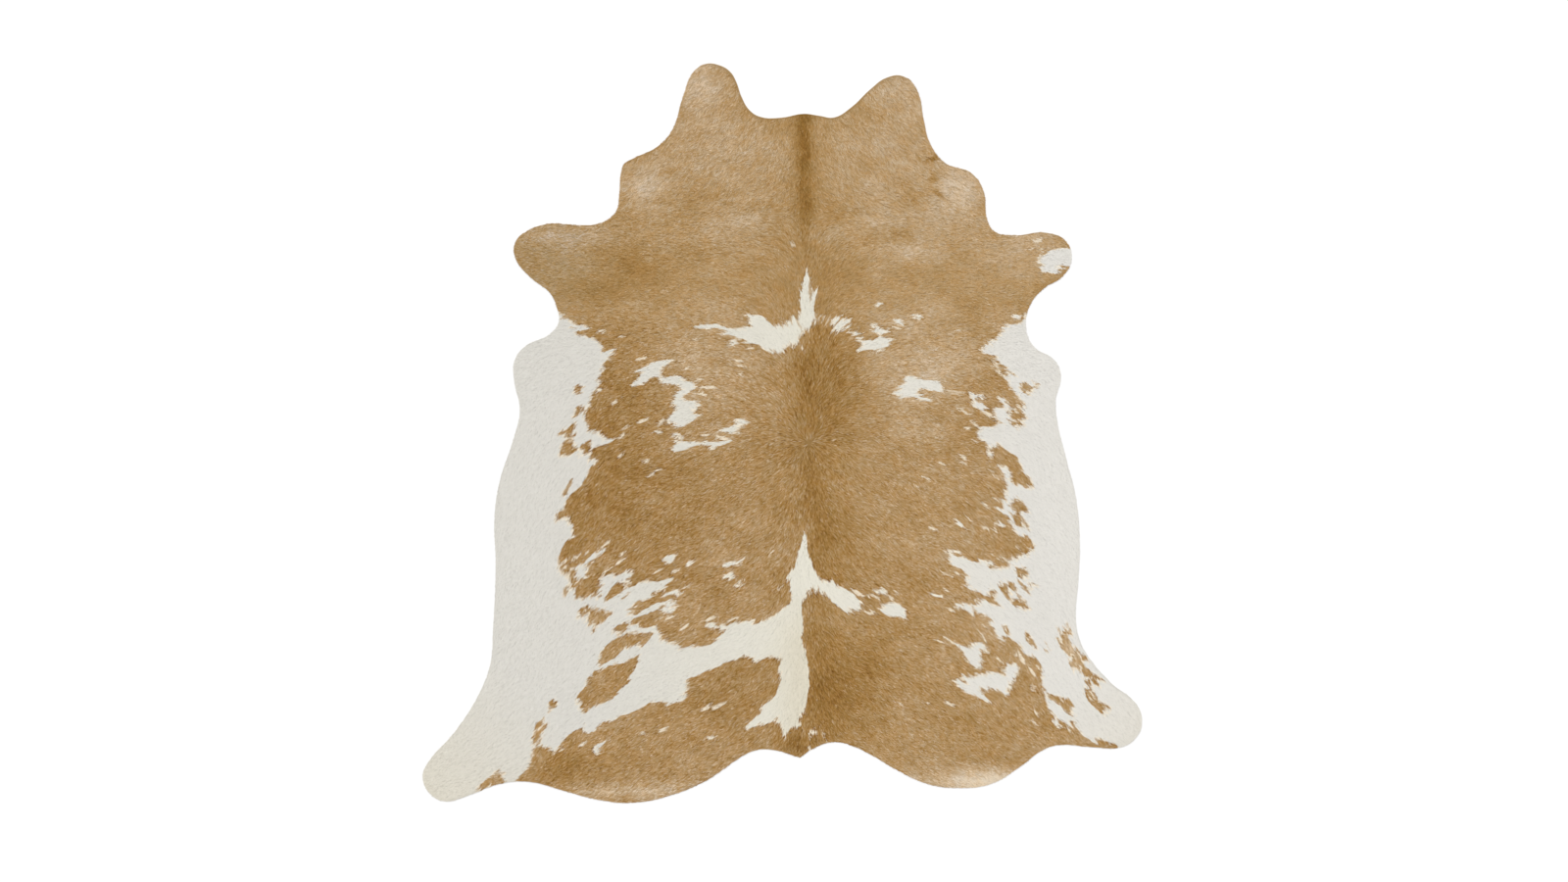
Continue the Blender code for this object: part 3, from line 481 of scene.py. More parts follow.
# Fine strokes of one colour in the other, each a few hairs wide, from one end to the other in the picture.
# share is how much of the stroke's colour shows.
Stroke = namedtuple("Stroke", "x1 y1 x2 y2 width share", defaults=(0.85,))
STROKE_THINNING = 0.80       # a lock carries its colour past its own spot, so strokes start out thinner
STROKE_SHORTENING = 0.10     # and shorter: by this share of their length at each end
WHITE_STROKES = [Stroke(*row) for row in (
    (611, 560, 624.5, 552, 2.8), (599, 579.5, 606, 572.5, 2.4), (579.5, 575, 594.5, 564.5, 2.5),
    (596, 566.5, 600, 563.5, 2.2), (569, 578.5, 580, 570.5, 3), (571.5, 581, 580, 579, 2.4),
    (626, 577.5, 639.5, 568.5, 2.8), (628, 569.5, 640, 563, 2.4), (614, 585.5, 622.5, 580.5, 2.6),
    (609.5, 592, 616.5, 587, 2.4), (572, 586, 578, 588.5, 2.4), (599.5, 609, 608, 605, 2.2),
    (604, 611.5, 616, 605, 2.4), (647.5, 620, 653.5, 615.5, 2.2), (645, 628, 649, 621.5, 2.2),
    (674, 604, 680, 602.5, 2.8), (695.5, 601.5, 701.5, 598.5, 2.6), (676, 633.5, 689, 628, 3),
    (669.5, 633.5, 675.5, 630, 2.4, 0.7), (697, 589.5, 702, 585.5, 2, 0.4),
    (659, 591, 663, 589.5, 2.5, 0.4), (594, 625.5, 600, 621.5, 2.6), (600, 627.5, 604.5, 621.5, 3, 0.4),
    (616, 628, 621.5, 623.5, 3, 0.5), (604.5, 636, 607.5, 630.5, 2.2, 0.6),
    (666, 586, 674.5, 580.5, 2.8), (683.5, 585.5, 692, 581, 4.2),
    (691, 646, 705, 635, 3.2), (716, 635.5, 729.5, 629, 3.5),
    (741.5, 633, 754, 631.5, 3), (792, 601, 798, 599, 3), (784, 566, 791, 561, 2.5),
    (740, 593, 748.5, 590.5, 2.5),
    (620, 416, 630, 408, 4), (649, 432, 662, 427, 4), (634, 440, 641, 433, 3),
    (629, 450, 637, 441, 3.5), (631, 468, 637, 461, 3.5), (660.5, 488, 668, 482, 3.5),
    (669, 481, 677, 477, 3.5), (655.5, 472, 662, 470, 3), (655, 471, 662.5, 469, 2.5),
    (609, 337, 617, 340, 4), (631, 345, 638, 341, 3.5), (708.5, 387, 717.5, 388.5, 3.5),
    (710.5, 395.5, 729, 394.5, 3.5), (707.5, 401, 722, 404, 3.5), (698, 376.5, 703, 375.5, 3.5),
    (692, 370, 698.5, 369.5, 3.5), (706, 346, 710, 346.5, 3), (750.5, 368, 757, 368.5, 4),
    (751.5, 372, 761.5, 375.5, 3.5), (751.5, 382, 760.5, 382.5, 3.5),
    (764, 355, 769, 355, 3.5), (648.5, 367, 660, 365, 3), (676.5, 426.5, 670.5, 436.5, 3.5),
    (713.5, 444, 727.5, 444, 3), (727, 444, 744, 450, 3.5), (689, 441, 682.5, 447.5, 3),
    (670, 748, 680, 742, 3.5), (713, 726, 727, 719, 4), (722, 725, 740, 718, 3.5),
    (825, 760, 827, 767, 3), (816, 349, 822, 361, 2.5), (834, 330, 838, 320, 2.5, 0.6),
    (838, 330, 843, 319, 2.5, 0.6), (842, 331, 848, 322, 2, 0.5), (846, 332, 852, 325, 2.5, 0.6),
    (805, 244, 811, 254, 4, 0.55), (808, 243, 812, 256, 3, 0.45), (910.5, 334, 921, 335.5, 3.5),
    (976.5, 337, 982, 337.5, 2.5), (965, 399.5, 984, 405, 2, 0.4),
    (1003, 419, 1015, 427, 5), (978, 414.5, 990, 425.5, 3), (989.5, 427, 1000.5, 438.5, 3),
    (984.5, 435, 990, 439, 3), (980, 462.5, 988.5, 472.5, 3.5), (981, 470.5, 986.5, 475.5, 3),
    (957.5, 471, 962.5, 473.5, 3), (994.5, 448.5, 999, 453.5, 3), (1020.5, 379, 1026, 386, 3),
    (1010.5, 363, 1027, 387, 2), (1054.5, 248, 1067, 243, 3.5), (1049.5, 256, 1056, 252.5, 3.5),
    (1062, 252, 1067, 258.5, 3), (879, 623.5, 895, 625, 3.5), (868, 601, 882, 609, 5),
    (882, 608, 890, 608.5, 4), (890.5, 607, 899, 613, 4), (906, 608, 914.5, 614.5, 3.5),
    (911.5, 601, 917.5, 608, 2.5), (960.5, 599, 965.5, 602.5, 3.5), (962, 649.5, 979.5, 659.5, 2.8),
    (953.5, 652.5, 964, 656, 2.8), (970, 621, 975, 627, 3.5), (1003.5, 637.5, 1008.5, 643, 2.6),
    (999.5, 643.5, 1007, 657, 2.8), (1004.5, 660.5, 1009, 670, 2.4), (1017.5, 671, 1023.5, 677.5, 2.4),
    (1049.5, 682.5, 1059.5, 692, 3.2), (1040, 493.5, 1042, 498, 2), (1041, 412, 1044, 421.5, 2.6),
    (1034, 415, 1038, 422.5, 2.4), (1029.5, 422.5, 1035, 431.5, 2.2), (1019.5, 476.5, 1024.5, 481.5, 2.8),
    (1011, 478, 1014, 482.5, 2),
    (917, 717.5, 920.5, 719, 3), (946, 717, 949.5, 719, 3), (966.5, 717, 975, 720.5, 4),
    (1055, 726.5, 1062, 731.5, 4), (1052, 734, 1057.5, 740, 3.4), (1040, 665, 1047.5, 680.5, 4.5),
    (1057, 677.5, 1061.5, 684.5, 3, 0.7), (1053.5, 702, 1058, 700, 3), (1053.5, 704, 1058, 706, 2.8),
    (1050, 651.5, 1052, 658, 2.2), (1082.5, 647, 1084.5, 662, 2),
    (1090, 647, 1093.5, 655.5, 1.8, 0.6), (1091, 663.5, 1095, 669.5, 2.6), (1099.5, 665.5, 1103.5, 671.5, 2.2),
    (1102, 672.5, 1108, 676, 2.8), (1102, 680, 1105.5, 686, 2.8), (1106, 678.5, 1110.5, 683.5, 2.4),
    (1098, 677.5, 1100.5, 681, 2.4, 0.7), (1081, 713, 1088, 720, 2, 0.8), (1093, 722, 1096.5, 725.5, 3),
    (1085, 740.5, 1093, 746, 2.4), (1089, 737, 1095, 743, 3), (1114, 753, 1119.5, 759, 3.2),
    (1109.5, 709.5, 1117.5, 718.5, 2, 0.8), (1115.5, 701, 1119.5, 711, 2.4),
    (1034.5, 668, 1040.5, 670, 3), (1003, 513, 1010, 520, 3.5),
    (1014, 507, 1019.5, 513, 3.5), (1016, 518.5, 1020.5, 522.5, 3), (1002, 538, 1010.5, 541, 3.5),
    (1013.5, 539, 1019, 544, 3.5), (986.5, 527, 992, 532, 3), (950, 538, 957, 542.5, 3.5),
    (1013.5, 484, 1019, 489, 3), (940.5, 487, 952.5, 489.5, 2), (934, 495.5, 940.5, 499, 2),
    (963, 584, 967.5, 589, 3), (969.5, 587, 973.5, 591, 3), (973.5, 582, 981, 589, 3),
    (1148, 755, 1153, 758, 3), (545, 750, 556, 738, 2.5), (548, 757, 558, 746, 2.5),
    (963, 398, 990, 402, 2.5, 0.5), (1036, 557, 1041, 561.5, 2.2), (1012.5, 565.5, 1017, 570, 2),
    (1018, 564.5, 1022.5, 574, 1.8, 0.7), (1022, 567.5, 1027, 573, 2.2),
    (1112, 690, 1121, 696, 2), (1113, 704, 1117, 714, 2), (493, 811, 503, 797, 2.5),
    (500, 812, 508, 799, 2), (578, 458, 583, 440, 2), (574, 455, 579, 442, 2, 0.6),
)]
TAN_STROKES = [Stroke(*row) for row in (
    (592, 423, 597, 412, 2.5), (596, 424, 600, 414, 2.5), (573, 513, 583, 488, 4),
    (573, 500, 577, 509, 4), (577, 597, 577, 610, 5), (634, 612, 639, 606, 2.8),
    (600, 611, 615, 602, 2.8), (609.5, 610, 614.5, 606.5, 2.6), (637, 593, 642.5, 590, 2.2),
    (677.5, 610, 690, 606.5, 2), (671, 620, 680, 618, 3), (685, 619.5, 688.5, 616, 2),
    (676, 629.5, 688, 626.5, 1.8), (572, 580, 579, 576.5, 2), (582, 586, 588, 583.5, 2.4),
    (583.5, 590.5, 588.5, 588, 2.2), (641, 626, 646, 625.5, 2.8),
    (580, 333, 585, 337, 2), (858, 335.5, 869, 328.5, 2.5), (855, 329, 860, 323, 2.5),
    (851, 333, 856, 327, 2), (825.5, 284, 827.5, 309, 3.5, 0.75), (798, 322, 804, 333, 1.8, 0.6),
    (803, 319, 809, 332, 1.8, 0.6), (808, 317, 815, 331, 1.8, 0.6), (812, 323, 819, 336, 1.8, 0.5),
    (793, 325, 798, 334, 1.8, 0.5), (672, 439, 682, 428, 2.5), (676, 441, 687, 430, 2.5),
    (667, 625, 677, 619, 2.5), (681, 621, 688, 616, 2, 0.6), (674, 613, 686, 608, 2, 0.6),
    (1056.5, 397.5, 1060, 390, 3.5), (1030.5, 378, 1035.5, 383.5, 3), (1042, 524, 1049.5, 543, 3.2),
    (1030.5, 523, 1035, 528, 2.4), (1045.5, 545.5, 1054.5, 554, 3), (1050, 556.5, 1054, 557.5, 2.2),
    (1045.5, 558, 1054, 566, 3), (1007.5, 578, 1015.5, 579.5, 2.8), (1025, 574.5, 1029.5, 578.5, 2.4),
    (1038, 593, 1049.5, 602, 3.6), (1048, 601, 1057.5, 594, 3), (1046.5, 599, 1050, 607, 3),
    (1013, 600.5, 1017.5, 607, 3.2), (1012, 612, 1021, 619, 4), (1037.5, 604, 1045, 617.5, 3.4),
    (1066, 661.5, 1069, 666.5, 3),
    (1028.5, 426.5, 1036.5, 438.5, 2.4), (1038, 431, 1042.5, 438.5, 2.2), (1018, 429, 1023, 433, 2, 0.7),
    (977, 620, 986, 624.5, 2.2), (1054, 652.5, 1056.5, 661, 2.4), (1041, 658, 1044.5, 661.5, 2.2),
    (1044, 408, 1046.5, 415, 2.4),
    (1079.5, 640.5, 1082.5, 647, 3, 0.6), (994, 619, 997, 628, 3), (988, 612, 1000, 605, 2),
    (1078, 647, 1083.5, 663.5, 2.4, 0.8), (1086, 636.5, 1092, 638, 2.6, 0.6),
    (1069, 657, 1070.5, 662, 2.2, 0.6),
    (1100, 683.5, 1106.5, 689, 2.8), (1068.5, 707.5, 1079.5, 713.5, 2.8), (1079.5, 733.5, 1085, 739.5, 2.8),
    (1088, 739, 1094, 745, 2.2), (1093, 737.5, 1098.5, 743.5, 2.4), (1097.5, 743.5, 1102.5, 746.5, 2.4),
    (1040, 663.5, 1045, 667.5, 2.4),
)]


def srgb(red, green, blue):
    """A colour given from 0 to 255 as it looks, as light from 0 to 1."""
    shown = np.array([red, green, blue]).T / 255.0
    return np.where(shown <= 0.04045, shown / 12.92, ((shown + 0.055) / 1.055) ** 2.4)


def picture_spots(places):
    """The spots in the picture, in its pixels, of real places in metres."""
    return np.stack([places[:, 0] / PIXEL + PICTURE_MIDDLE_X, PICTURE_MIDDLE_Y - places[:, 1] / PIXEL], 1)


def inside(spots, outline):
    """Which spots lie inside a closed outline: those whose level line crosses it an odd number of times."""
    outline = np.asarray(outline, float)
    near = np.flatnonzero(((spots > outline.min(0)) & (spots < outline.max(0))).all(1))
    x, y = spots[near].T
    odd = np.zeros(len(near), bool)
    for (x1, y1), (x2, y2) in zip(outline, np.roll(outline, -1, axis=0)):
        if y1 != y2:
            odd ^= ((y1 > y) != (y2 > y)) & (x < x1 + (y - y1) * (x2 - x1) / (y2 - y1))
    found = np.zeros(len(spots), bool)
    found[near] = odd
    return found


def distance_to(places, outline):
    """How far each place is from a closed outline."""
    nearest = np.full(len(places), np.inf)
    for start, end in zip(outline, np.roll(outline, -1, axis=0)):
        side = end - start
        along = np.clip((places - start) @ side / (side @ side), 0, 1)
        off = places - start - along[:, None] * side
        nearest = np.minimum(nearest, (off * off).sum(1))
    return np.sqrt(nearest)


def stroke_outline(stroke):
    """A stroke as a closed outline, full in its middle half and pointed at its ends."""
    start = np.array([stroke.x1, stroke.y1])
    along = np.array([stroke.x2, stroke.y2]) - start
    across = along[::-1] * (1, -1) / np.linalg.norm(along) * stroke.width * STROKE_THINNING / 2
    near, far = start + along * 0.25, start + along * 0.75
    ends = start + along * STROKE_SHORTENING, start + along * (1 - STROKE_SHORTENING)
    return np.array([ends[0], near + across, far + across, ends[1], far - across, near - across])


def soft_noise(spots, pitch, seed):
    """Smooth noise from -1 to 1, with blobs about one pitch across."""
    table = np.random.default_rng(seed).uniform(-1, 1, (256, 256))
    at = spots / pitch
    cell = np.floor(at).astype(int)
    part = at - cell
    part = part * part * (3 - 2 * part)
    x, y = cell.T % 256
    right, up = (x + 1) % 256, (y + 1) % 256
    low = table[x, y] * (1 - part[:, 0]) + table[right, y] * part[:, 0]
    high = table[x, up] * (1 - part[:, 0]) + table[right, up] * part[:, 0]
    return low * (1 - part[:, 1]) + high * part[:, 1]


def sized_noise(places, noise):
    return noise.size * soft_noise(places, noise.pitch, noise.seed)


def streak_noise(places, direction, streaks):
    """Noise drawn out along the hair: twice its mean over a few spots up and down the hair's direction."""
    steps = np.linspace(-0.5, 0.5, STREAK_STEPS) * streaks.length
    found = sum(soft_noise(places + direction * step, streaks.pitch, streaks.seed) for step in steps)
    return found / STREAK_STEPS * 2


def parting(spots):
    """Where the hair parts, across the picture, at the height of each spot."""
    return np.interp(spots[:, 1], [bend.y for bend in HAIR_PARTING], [bend.x for bend in HAIR_PARTING])


def ruffling(spots):
    """How ruffled the hair is at each spot of the picture, from 0 to 1."""
    return np.clip((SMOOTH_BELOW - spots[:, 1]) / (SMOOTH_BELOW - RUFFLED_ABOVE), 0, 1)


def hair_slope(spots):
    """How many radians below level the hair points at each spot of the picture."""
    x, y = spots.T
    out = np.abs(x - parting(spots))
    down = np.tanh((y - UPPER_WHORL) / WHORL_SIZE) * np.tanh((y - LOWER_WHORL) / WHORL_SIZE)
    reach = UPWARD_REACH + (DOWNWARD_REACH - UPWARD_REACH) * (1 + down) / 2
    on_back = np.exp(-out / reach)
    heights = [slope.y for slope in SIDE_SLOPES]
    flank = np.interp(y, heights, [slope.flank for slope in SIDE_SLOPES])
    belly = np.interp(y, heights, [slope.belly for slope in SIDE_SLOPES])
    side = flank + (belly - flank) * np.clip((out - FLANK_ENDS) / (BELLY_STARTS - FLANK_ENDS), 0, 1)
    side = np.radians(side)
    return np.arctan2(down * on_back + np.sin(side) * (1 - on_back), np.cos(side) * (1 - on_back))


def hair_direction(places, turn=0.0):
    """The way the hair points at each place, as a flat unit vector, turned by that many radians."""
    spots = picture_spots(places)
    wander = sized_noise(places, BROAD_SWIRLS) + sized_noise(places, MIDDLE_SWIRLS)
    small = soft_noise(places * SMALL_SWIRL_STRETCH, SMALL_SWIRLS.pitch, SMALL_SWIRLS.seed)
    wander += (SMALL_SWIRLS.size + RUFFLED_SWIRLS * ruffling(spots)) * small
    slope = hair_slope(spots) + wander + turn
    side = np.where(spots[:, 0] < parting(spots), -1, 1)
    return np.stack([side * np.cos(slope), -np.sin(slope)], 1)


def sideways(direction):
    """The flat unit vectors a quarter turn to the left of these."""
    return np.stack([-direction[:, 1], direction[:, 0]], 1)


def coat_depth(places, edge_gap):
    """How deep the lying coat is at each place, given its distance from the cut edge."""
    share = np.clip(edge_gap / COAT_RIM, 0, 1)
    depth = COAT_AT_EDGE + (COAT_ON_FLANK - COAT_AT_EDGE) * np.sqrt(share * (2 - share))
    spine_x = (PICTURE_SPINE - PICTURE_MIDDLE_X) * PIXEL
    return depth + SPINE_RIDGE * share * np.exp(-((places[:, 0] - spine_x) / SPINE_RIDGE_WIDTH) ** 2)


def markings(spots):
    """How white the hair is at each spot of the picture, and how much of that is a fine stroke's cream."""
    white = np.zeros(len(spots))
    cream = np.zeros(len(spots))
    for outlines, share in ((WHITE_OUTLINES, 1), (TAN_ISLANDS, 0)):
        for outline in outlines:
            white[inside(spots, outline)] = share
    for stroke in WHITE_STROKES:
        here = inside(spots, stroke_outline(stroke)) & (white < stroke.share)
        white[here] = stroke.share
        cream[here] = 1
    for stroke in TAN_STROKES:
        white[inside(spots, stroke_outline(stroke))] *= 1 - stroke.share
    return white, cream


def patch_shift(spots, patch):
    """How much each spot of the picture gets of a soft patch's shift: all of it in the patch's middle."""
    turn = math.radians(patch.turn)
    x, y = spots[:, 0] - patch.x, spots[:, 1] - patch.y
    across = (x * math.cos(turn) + y * math.sin(turn)) / patch.across
    down = (y * math.cos(turn) - x * math.sin(turn)) / patch.down
    return patch.shift * np.exp(-across * across - down * down)


def tan_tone(spots):
    """The tone of the tan hair at each spot of the picture, from 0 to 1."""
    return TAN_MIDDLE + sum(patch_shift(spots, patch) for patch in TAN_PATCHES)


def tan_colour(tone):
    """The colour of the tan hair at a place on the scale of tones."""
    at, *parts = zip(*TAN_TONES)
    return srgb(*(np.interp(tone, at, part) for part in parts))


def white_colour(spots, cream):
    """The colour of the white hair at each spot of the picture, given how much of a stroke's cream it has."""
    x, y = spots.T
    out = (x - PICTURE_SPINE) / WHITE_BLEND
    left, right = np.clip(-out, 0, 1), np.clip(out, 0, 1)
    tail = np.exp(-((x - PICTURE_SPINE) / TAIL_BLEND) ** 2) * np.clip((y - TAIL_STARTS) / TAIL_GROWS, 0, 1)
    tail = np.maximum(tail, LEG_CREAM * np.clip(np.abs(out) + (y - LEG_LINE) / LEG_GROWS, 0, 1))
    # Painted shade on the left belly's white and painted light on the right one's.
    colour = np.outer(left, WHITE_LEFT) + np.outer(right, WHITE_RIGHT)
    colour += np.outer(1 - left - right, WHITE_MIDDLE)
    for share, tone in ((tail, WHITE_TAIL), (cream, WHITE_STROKE)):
        colour += share[:, None] * (tone - colour)
    return srgb(*colour.T)


def hair_colour(spots, lift, white, cream):
    """The hair's colour at each spot of the picture, given how white it is there. lift makes it paler."""
    tan = tan_colour(tan_tone(spots) + lift)
    tan *= 1 + patch_shift(spots, DULL_FORELEG)[:, None] * DULL_SHIFT
    pale = white_colour(spots, cream) * (1 + WHITE_LIFT * lift[:, None])
    return tan + (pale - tan) * white[:, None]


def copy_of_hide():
    """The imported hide's shape as a bmesh, with its loose triangles joined."""
    shape = bmesh.new()
    shape.from_mesh(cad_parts["hide"].data)
    bmesh.ops.remove_doubles(shape, verts=shape.verts, dist=SAME_PLACE)
    return shape


def mesh_from(name, shape):
    """Turns a bmesh into a mesh of that name."""
    mesh = bpy.data.meshes.new(name)
    shape.to_mesh(mesh)
    shape.free()
    return mesh


def underside_of(shape):
    """Keeps only the underside of the shape, as one flat face."""
    floor = HIDE_BOX[0].z + FLAT_WITHIN
    upper = [face for face in shape.faces if any(vert.co.z > floor for vert in face.verts)]
    bmesh.ops.delete(shape, geom=upper, context="FACES")
    return bmesh.ops.dissolve_faces(shape, faces=shape.faces)["region"][0]


def finish_piece(mesh, material):
    """Makes the mesh a piece of the rug, of the same name."""
    mesh.materials.append(material)
    piece = bpy.data.objects.new(mesh.name, mesh)
    bpy.context.scene.collection.objects.link(piece)
    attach(piece, "root")
    return piece


def thicken(shape, face, height):
    """Raises a copy of the flat face and closes the wall between the two. Returns the upper face."""
    raised = bmesh.ops.extrude_face_region(shape, geom=[face], use_keep_orig=True)["geom"]
    verts = [part for part in raised if isinstance(part, bmesh.types.BMVert)]
    bmesh.ops.translate(shape, verts=verts, vec=(0, 0, height))
    bmesh.ops.recalc_face_normals(shape, faces=shape.faces)
    return next(part for part in raised if isinstance(part, bmesh.types.BMFace))


def cut_along_grid(shape, pitch):
    """Cuts the shape's faces along a square grid."""
    low, high = HIDE_BOX
    for axis, start, end in ((Vector((1, 0, 0)), low.x, high.x), (Vector((0, 1, 0)), low.y, high.y)):
        for step in range(1, math.floor((end - start) / pitch)):
            everything = shape.verts[:] + shape.edges[:] + shape.faces[:]
            spot = axis * (start + step * pitch)
            bmesh.ops.bisect_plane(shape, geom=everything, dist=SAME_PLACE, plane_co=spot, plane_no=axis)


def make_leather(material):
    """The leather: one sheet with its flesh side down and its cut edge slightly rounded."""
    shape = copy_of_hide()
    thicken(shape, underside_of(shape), LEATHER_THICKNESS)
    rims = [edge for edge in shape.edges if edge.calc_face_angle(0) > SHARP_ANGLE
            and abs(edge.verts[0].co.z - edge.verts[1].co.z) < EDGE_ROUNDING]
    bmesh.ops.bevel(
        shape, geom=rims, offset=EDGE_ROUNDING, segments=2, profile=0.5, affect="EDGES", material=-1,
    )
    return finish_piece(mesh_from("hide_leather", shape), material)


def hide_outline():
    """The cut edge as a ring of flat points."""
    shape = copy_of_hide()
    ring = np.array([tuple(vert.co.xy) for vert in underside_of(shape).verts])
    shape.free()
    return ring


def paint(mesh, colours):
    """Stores a colour for each vertex of the mesh."""
    attribute = mesh.attributes.new("hair_colour", "FLOAT_COLOR", "POINT")
    attribute.data.foreach_set("color", np.column_stack([colours, np.ones(len(colours))]).ravel())


def make_undercoat(ring, material):
    """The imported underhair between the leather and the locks, which thins out towards the cut edge."""
    shape = copy_of_hide()
    top = thicken(shape, underside_of(shape), LEATHER_THICKNESS)
    for share in UNDERCOAT_RIM:
        bmesh.ops.inset_region(
            shape, faces=[top], thickness=COAT_RIM * share, depth=0, use_even_offset=True, use_boundary=True,
        )
    cut_along_grid(shape, UNDERCOAT_PITCH)
    places = np.array([tuple(vert.co) for vert in shape.verts])
    edge_gap = distance_to(places[:, :2], ring)
    height = LEATHER_THICKNESS + coat_depth(places[:, :2], edge_gap) * UNDERCOAT_SHARE
    for vert, z in zip(shape.verts, height):
        vert.co.z = z if vert.co.z > LEATHER_THICKNESS / 2 else LEATHER_THICKNESS / 2
    bmesh.ops.scale(shape, verts=shape.verts, vec=(UNDERCOAT_SIZE, UNDERCOAT_SIZE, 1))
    mesh = mesh_from("hide_undercoat", shape)
    mesh.shade_smooth()
    spots = picture_spots(places[:, :2])
    white, cream = markings(spots)
    colours = hair_colour(spots, np.zeros(len(spots)), white, cream)
    paint(mesh, colours * (1 + WHITE_UNDERHAIR * white[:, None]))
    return finish_piece(mesh, material)


def lock_roots(ring):
    """The roots of the locks, evenly strewn over the hide, and the distance of each from the cut edge."""
    random = np.random.default_rng(1)
    low, high = ring.min(0), ring.max(0)
    columns, rows = np.ceil((high - low) / LOCK_PITCH).astype(int)
    grid = np.stack(np.meshgrid(np.arange(columns), np.arange(rows)), -1).reshape(-1, 2).astype(float)
    grid[:, 0] += 0.5 * (grid[:, 1] % 2)
    places = low + (grid + random.uniform(-LOCK_STREW, LOCK_STREW, grid.shape) + 0.5) * LOCK_PITCH
    places = places[inside(places, ring)]
    return places, distance_to(places, ring)


def trimmed_reach(roots, tips, edge_gap, ring):
    """The share of each lock's length that stays, so that its tip ends just past the cut edge at most."""
    reach = np.ones(len(roots))
    near = np.flatnonzero(edge_gap < LOCK_LENGTH * TRIMMED_WITHIN)
    for share in TRIM_SHARES:
        spots = roots[near] + (tips - roots)[near] * share
        over = ~inside(spots, ring)
        over[over] = distance_to(spots[over], ring) > LOCK_OVERHANG
        reach[near[over]] = share - TRIM_STEP
    return reach


def shape_locks(roots, edge_gap, ring):
    """The four corners of each lock, its root, its two sides and its tip, and the colour of each."""
    random = np.random.default_rng(2)
    count = len(roots)
    straight = hair_direction(roots)
    ridge = streak_noise(roots, straight, CLUMPS)
    nudge = sideways(straight) * CLUMPS.pitch / 3
    slant = streak_noise(roots + nudge, straight, CLUMPS) - streak_noise(roots - nudge, straight, CLUMPS)

    direction = hair_direction(roots, random.normal(0, TURN_SPREAD, count))
    across = sideways(direction)
    length = LOCK_LENGTH * random.uniform(*LENGTH_SPREAD, count)
    length *= 1 - RUFFLED_SHORTER * ruffling(picture_spots(roots))
    tips = roots + direction * length[:, None] + across * (slant * CLUMP_SLANT)[:, None]
    reach = trimmed_reach(roots, tips, edge_gap, ring)
    tips = roots + (tips - roots) * reach[:, None]

    depth = coat_depth(roots, edge_gap)
    base = LEATHER_THICKNESS + depth * UNDERCOAT_SHARE
    tip_gap = edge_gap.copy()
    near = edge_gap < LOCK_LENGTH + COAT_RIM
    tip_gap[near] = distance_to(tips[near], ring) * inside(tips[near], ring)
    tip_depth = coat_depth(tips, tip_gap)
    tip_base = LEATHER_THICKNESS + tip_depth * UNDERCOAT_SHARE
    height = tip_depth * (1 - UNDERCOAT_SHARE) * (1 - CLUMP_RISE + CLUMP_RISE * np.clip(ridge, -1, 1))
    height *= random.uniform(*HEIGHT_SPREAD, count)
    roll = random.normal(0, ROLL_SPREAD, count) * LOCK_WIDTH / 2
    width = LOCK_WIDTH * random.uniform(*WIDTH_SPREAD, count) * (TRIMMED_WIDTH + (1 - TRIMMED_WIDTH) * reach)

    def place_of(corner):
        side = corner.side * corner.width
        place = roots + (tips - roots) * corner.along + across * (side * width / 2)[:, None]
        rise = base + (tip_base - base) * corner.along + height * corner.rise + side * roll
        return np.column_stack([place, rise])

    corners = np.stack([place_of(corner) for corner in LOCK_CORNERS], 1)
    return corners, colour_locks(roots, tips, straight, ridge, edge_gap, random)


def colour_locks(roots, tips, straight, ridge, edge_gap, random):
    """The colour of each lock's four corners, taken from the spot at which most of the lock shows."""
    count = len(roots)
    fray = streak_noise(roots, straight, FRAY) + FINE_FRAY_SHARE * streak_noise(roots, straight, FINE_FRAY)
    seen = roots + (tips - roots) * (SEEN_SHARE + random.uniform(-SEEN_SPREAD, SEEN_SPREAD, count))[:, None]
    seen += straight * (FRAY_REACH * fray)[:, None]
    spots = picture_spots(seen)
    white, cream = markings(spots)
    further, ahead, behind = (
        markings(picture_spots(seen + straight * step))[0]
        for step in (EDGE_BLUR, BORDER_REACH, -BORDER_REACH)
    )
    border = np.maximum(abs(ahead - white), abs(behind - white))
    # Painted highlight: white hair by a marking's border gets the strokes' cream.
    cream = np.maximum(cream, BORDER_HIGHLIGHT * border)

    lift = CLUMP_LIFT * ridge + random.normal(0, LIFT_SPREAD, count) * (1 - RUFFLED_LIFT * ruffling(spots))
    lift *= 1 - SLEEK_SHARE * np.exp(-((spots[:, 1] - SLEEK_MIDDLE) / SLEEK_REACH) ** 2)
    lift *= 1 - RIGHT_LIFT * np.tanh((spots[:, 0] - PICTURE_SPINE) / SPINE_FADE)
    lift += sized_noise(roots * BROAD_CLOUD_STRETCH, BROAD_CLOUDS) + sized_noise(roots, SMALL_CLOUDS)
    # Painted shade: tan hair by a marking's border is darker, as where its tips lie over the white.
    lift -= BORDER_SHADE * border * (1 - white)

    white = (white + further) / 2
    colour = hair_colour(spots, lift, white, cream)
    colour *= 1 + sized_noise(roots, WARM_CLOUDS)[:, None] * (1 - white[:, None]) * WARM_SHIFT
    # Painted shade: a thin dark line along the cut edge.
    colour *= (1 - EDGE_SHADE * np.exp(-edge_gap / EDGE_SHADE_REACH))[:, None]
    # Painted shade and light along each lock: dark at its root, pale at its tip.
    tan_shade = np.array([corner.tan for corner in LOCK_CORNERS])
    white_shade = np.array([[corner.white] for corner in LOCK_CORNERS])
    share = white[:, None, None]
    return colour[:, None, :] * (tan_shade * (1 - share) + white_shade * share)


def spread_bits(numbers):
    """Moves the bits of each number apart, to leave a gap after each."""
    spread = np.zeros_like(numbers)
    for bit in range(16):
        spread |= ((numbers >> bit) & 1) << (2 * bit)
    return spread


def gather_bits(numbers):
    """Takes every second bit of each number: the reverse of spread_bits."""
    gathered = np.zeros_like(numbers)
    for bit in range(16):
        gathered |= ((numbers >> (2 * bit)) & 1) << bit
    return gathered


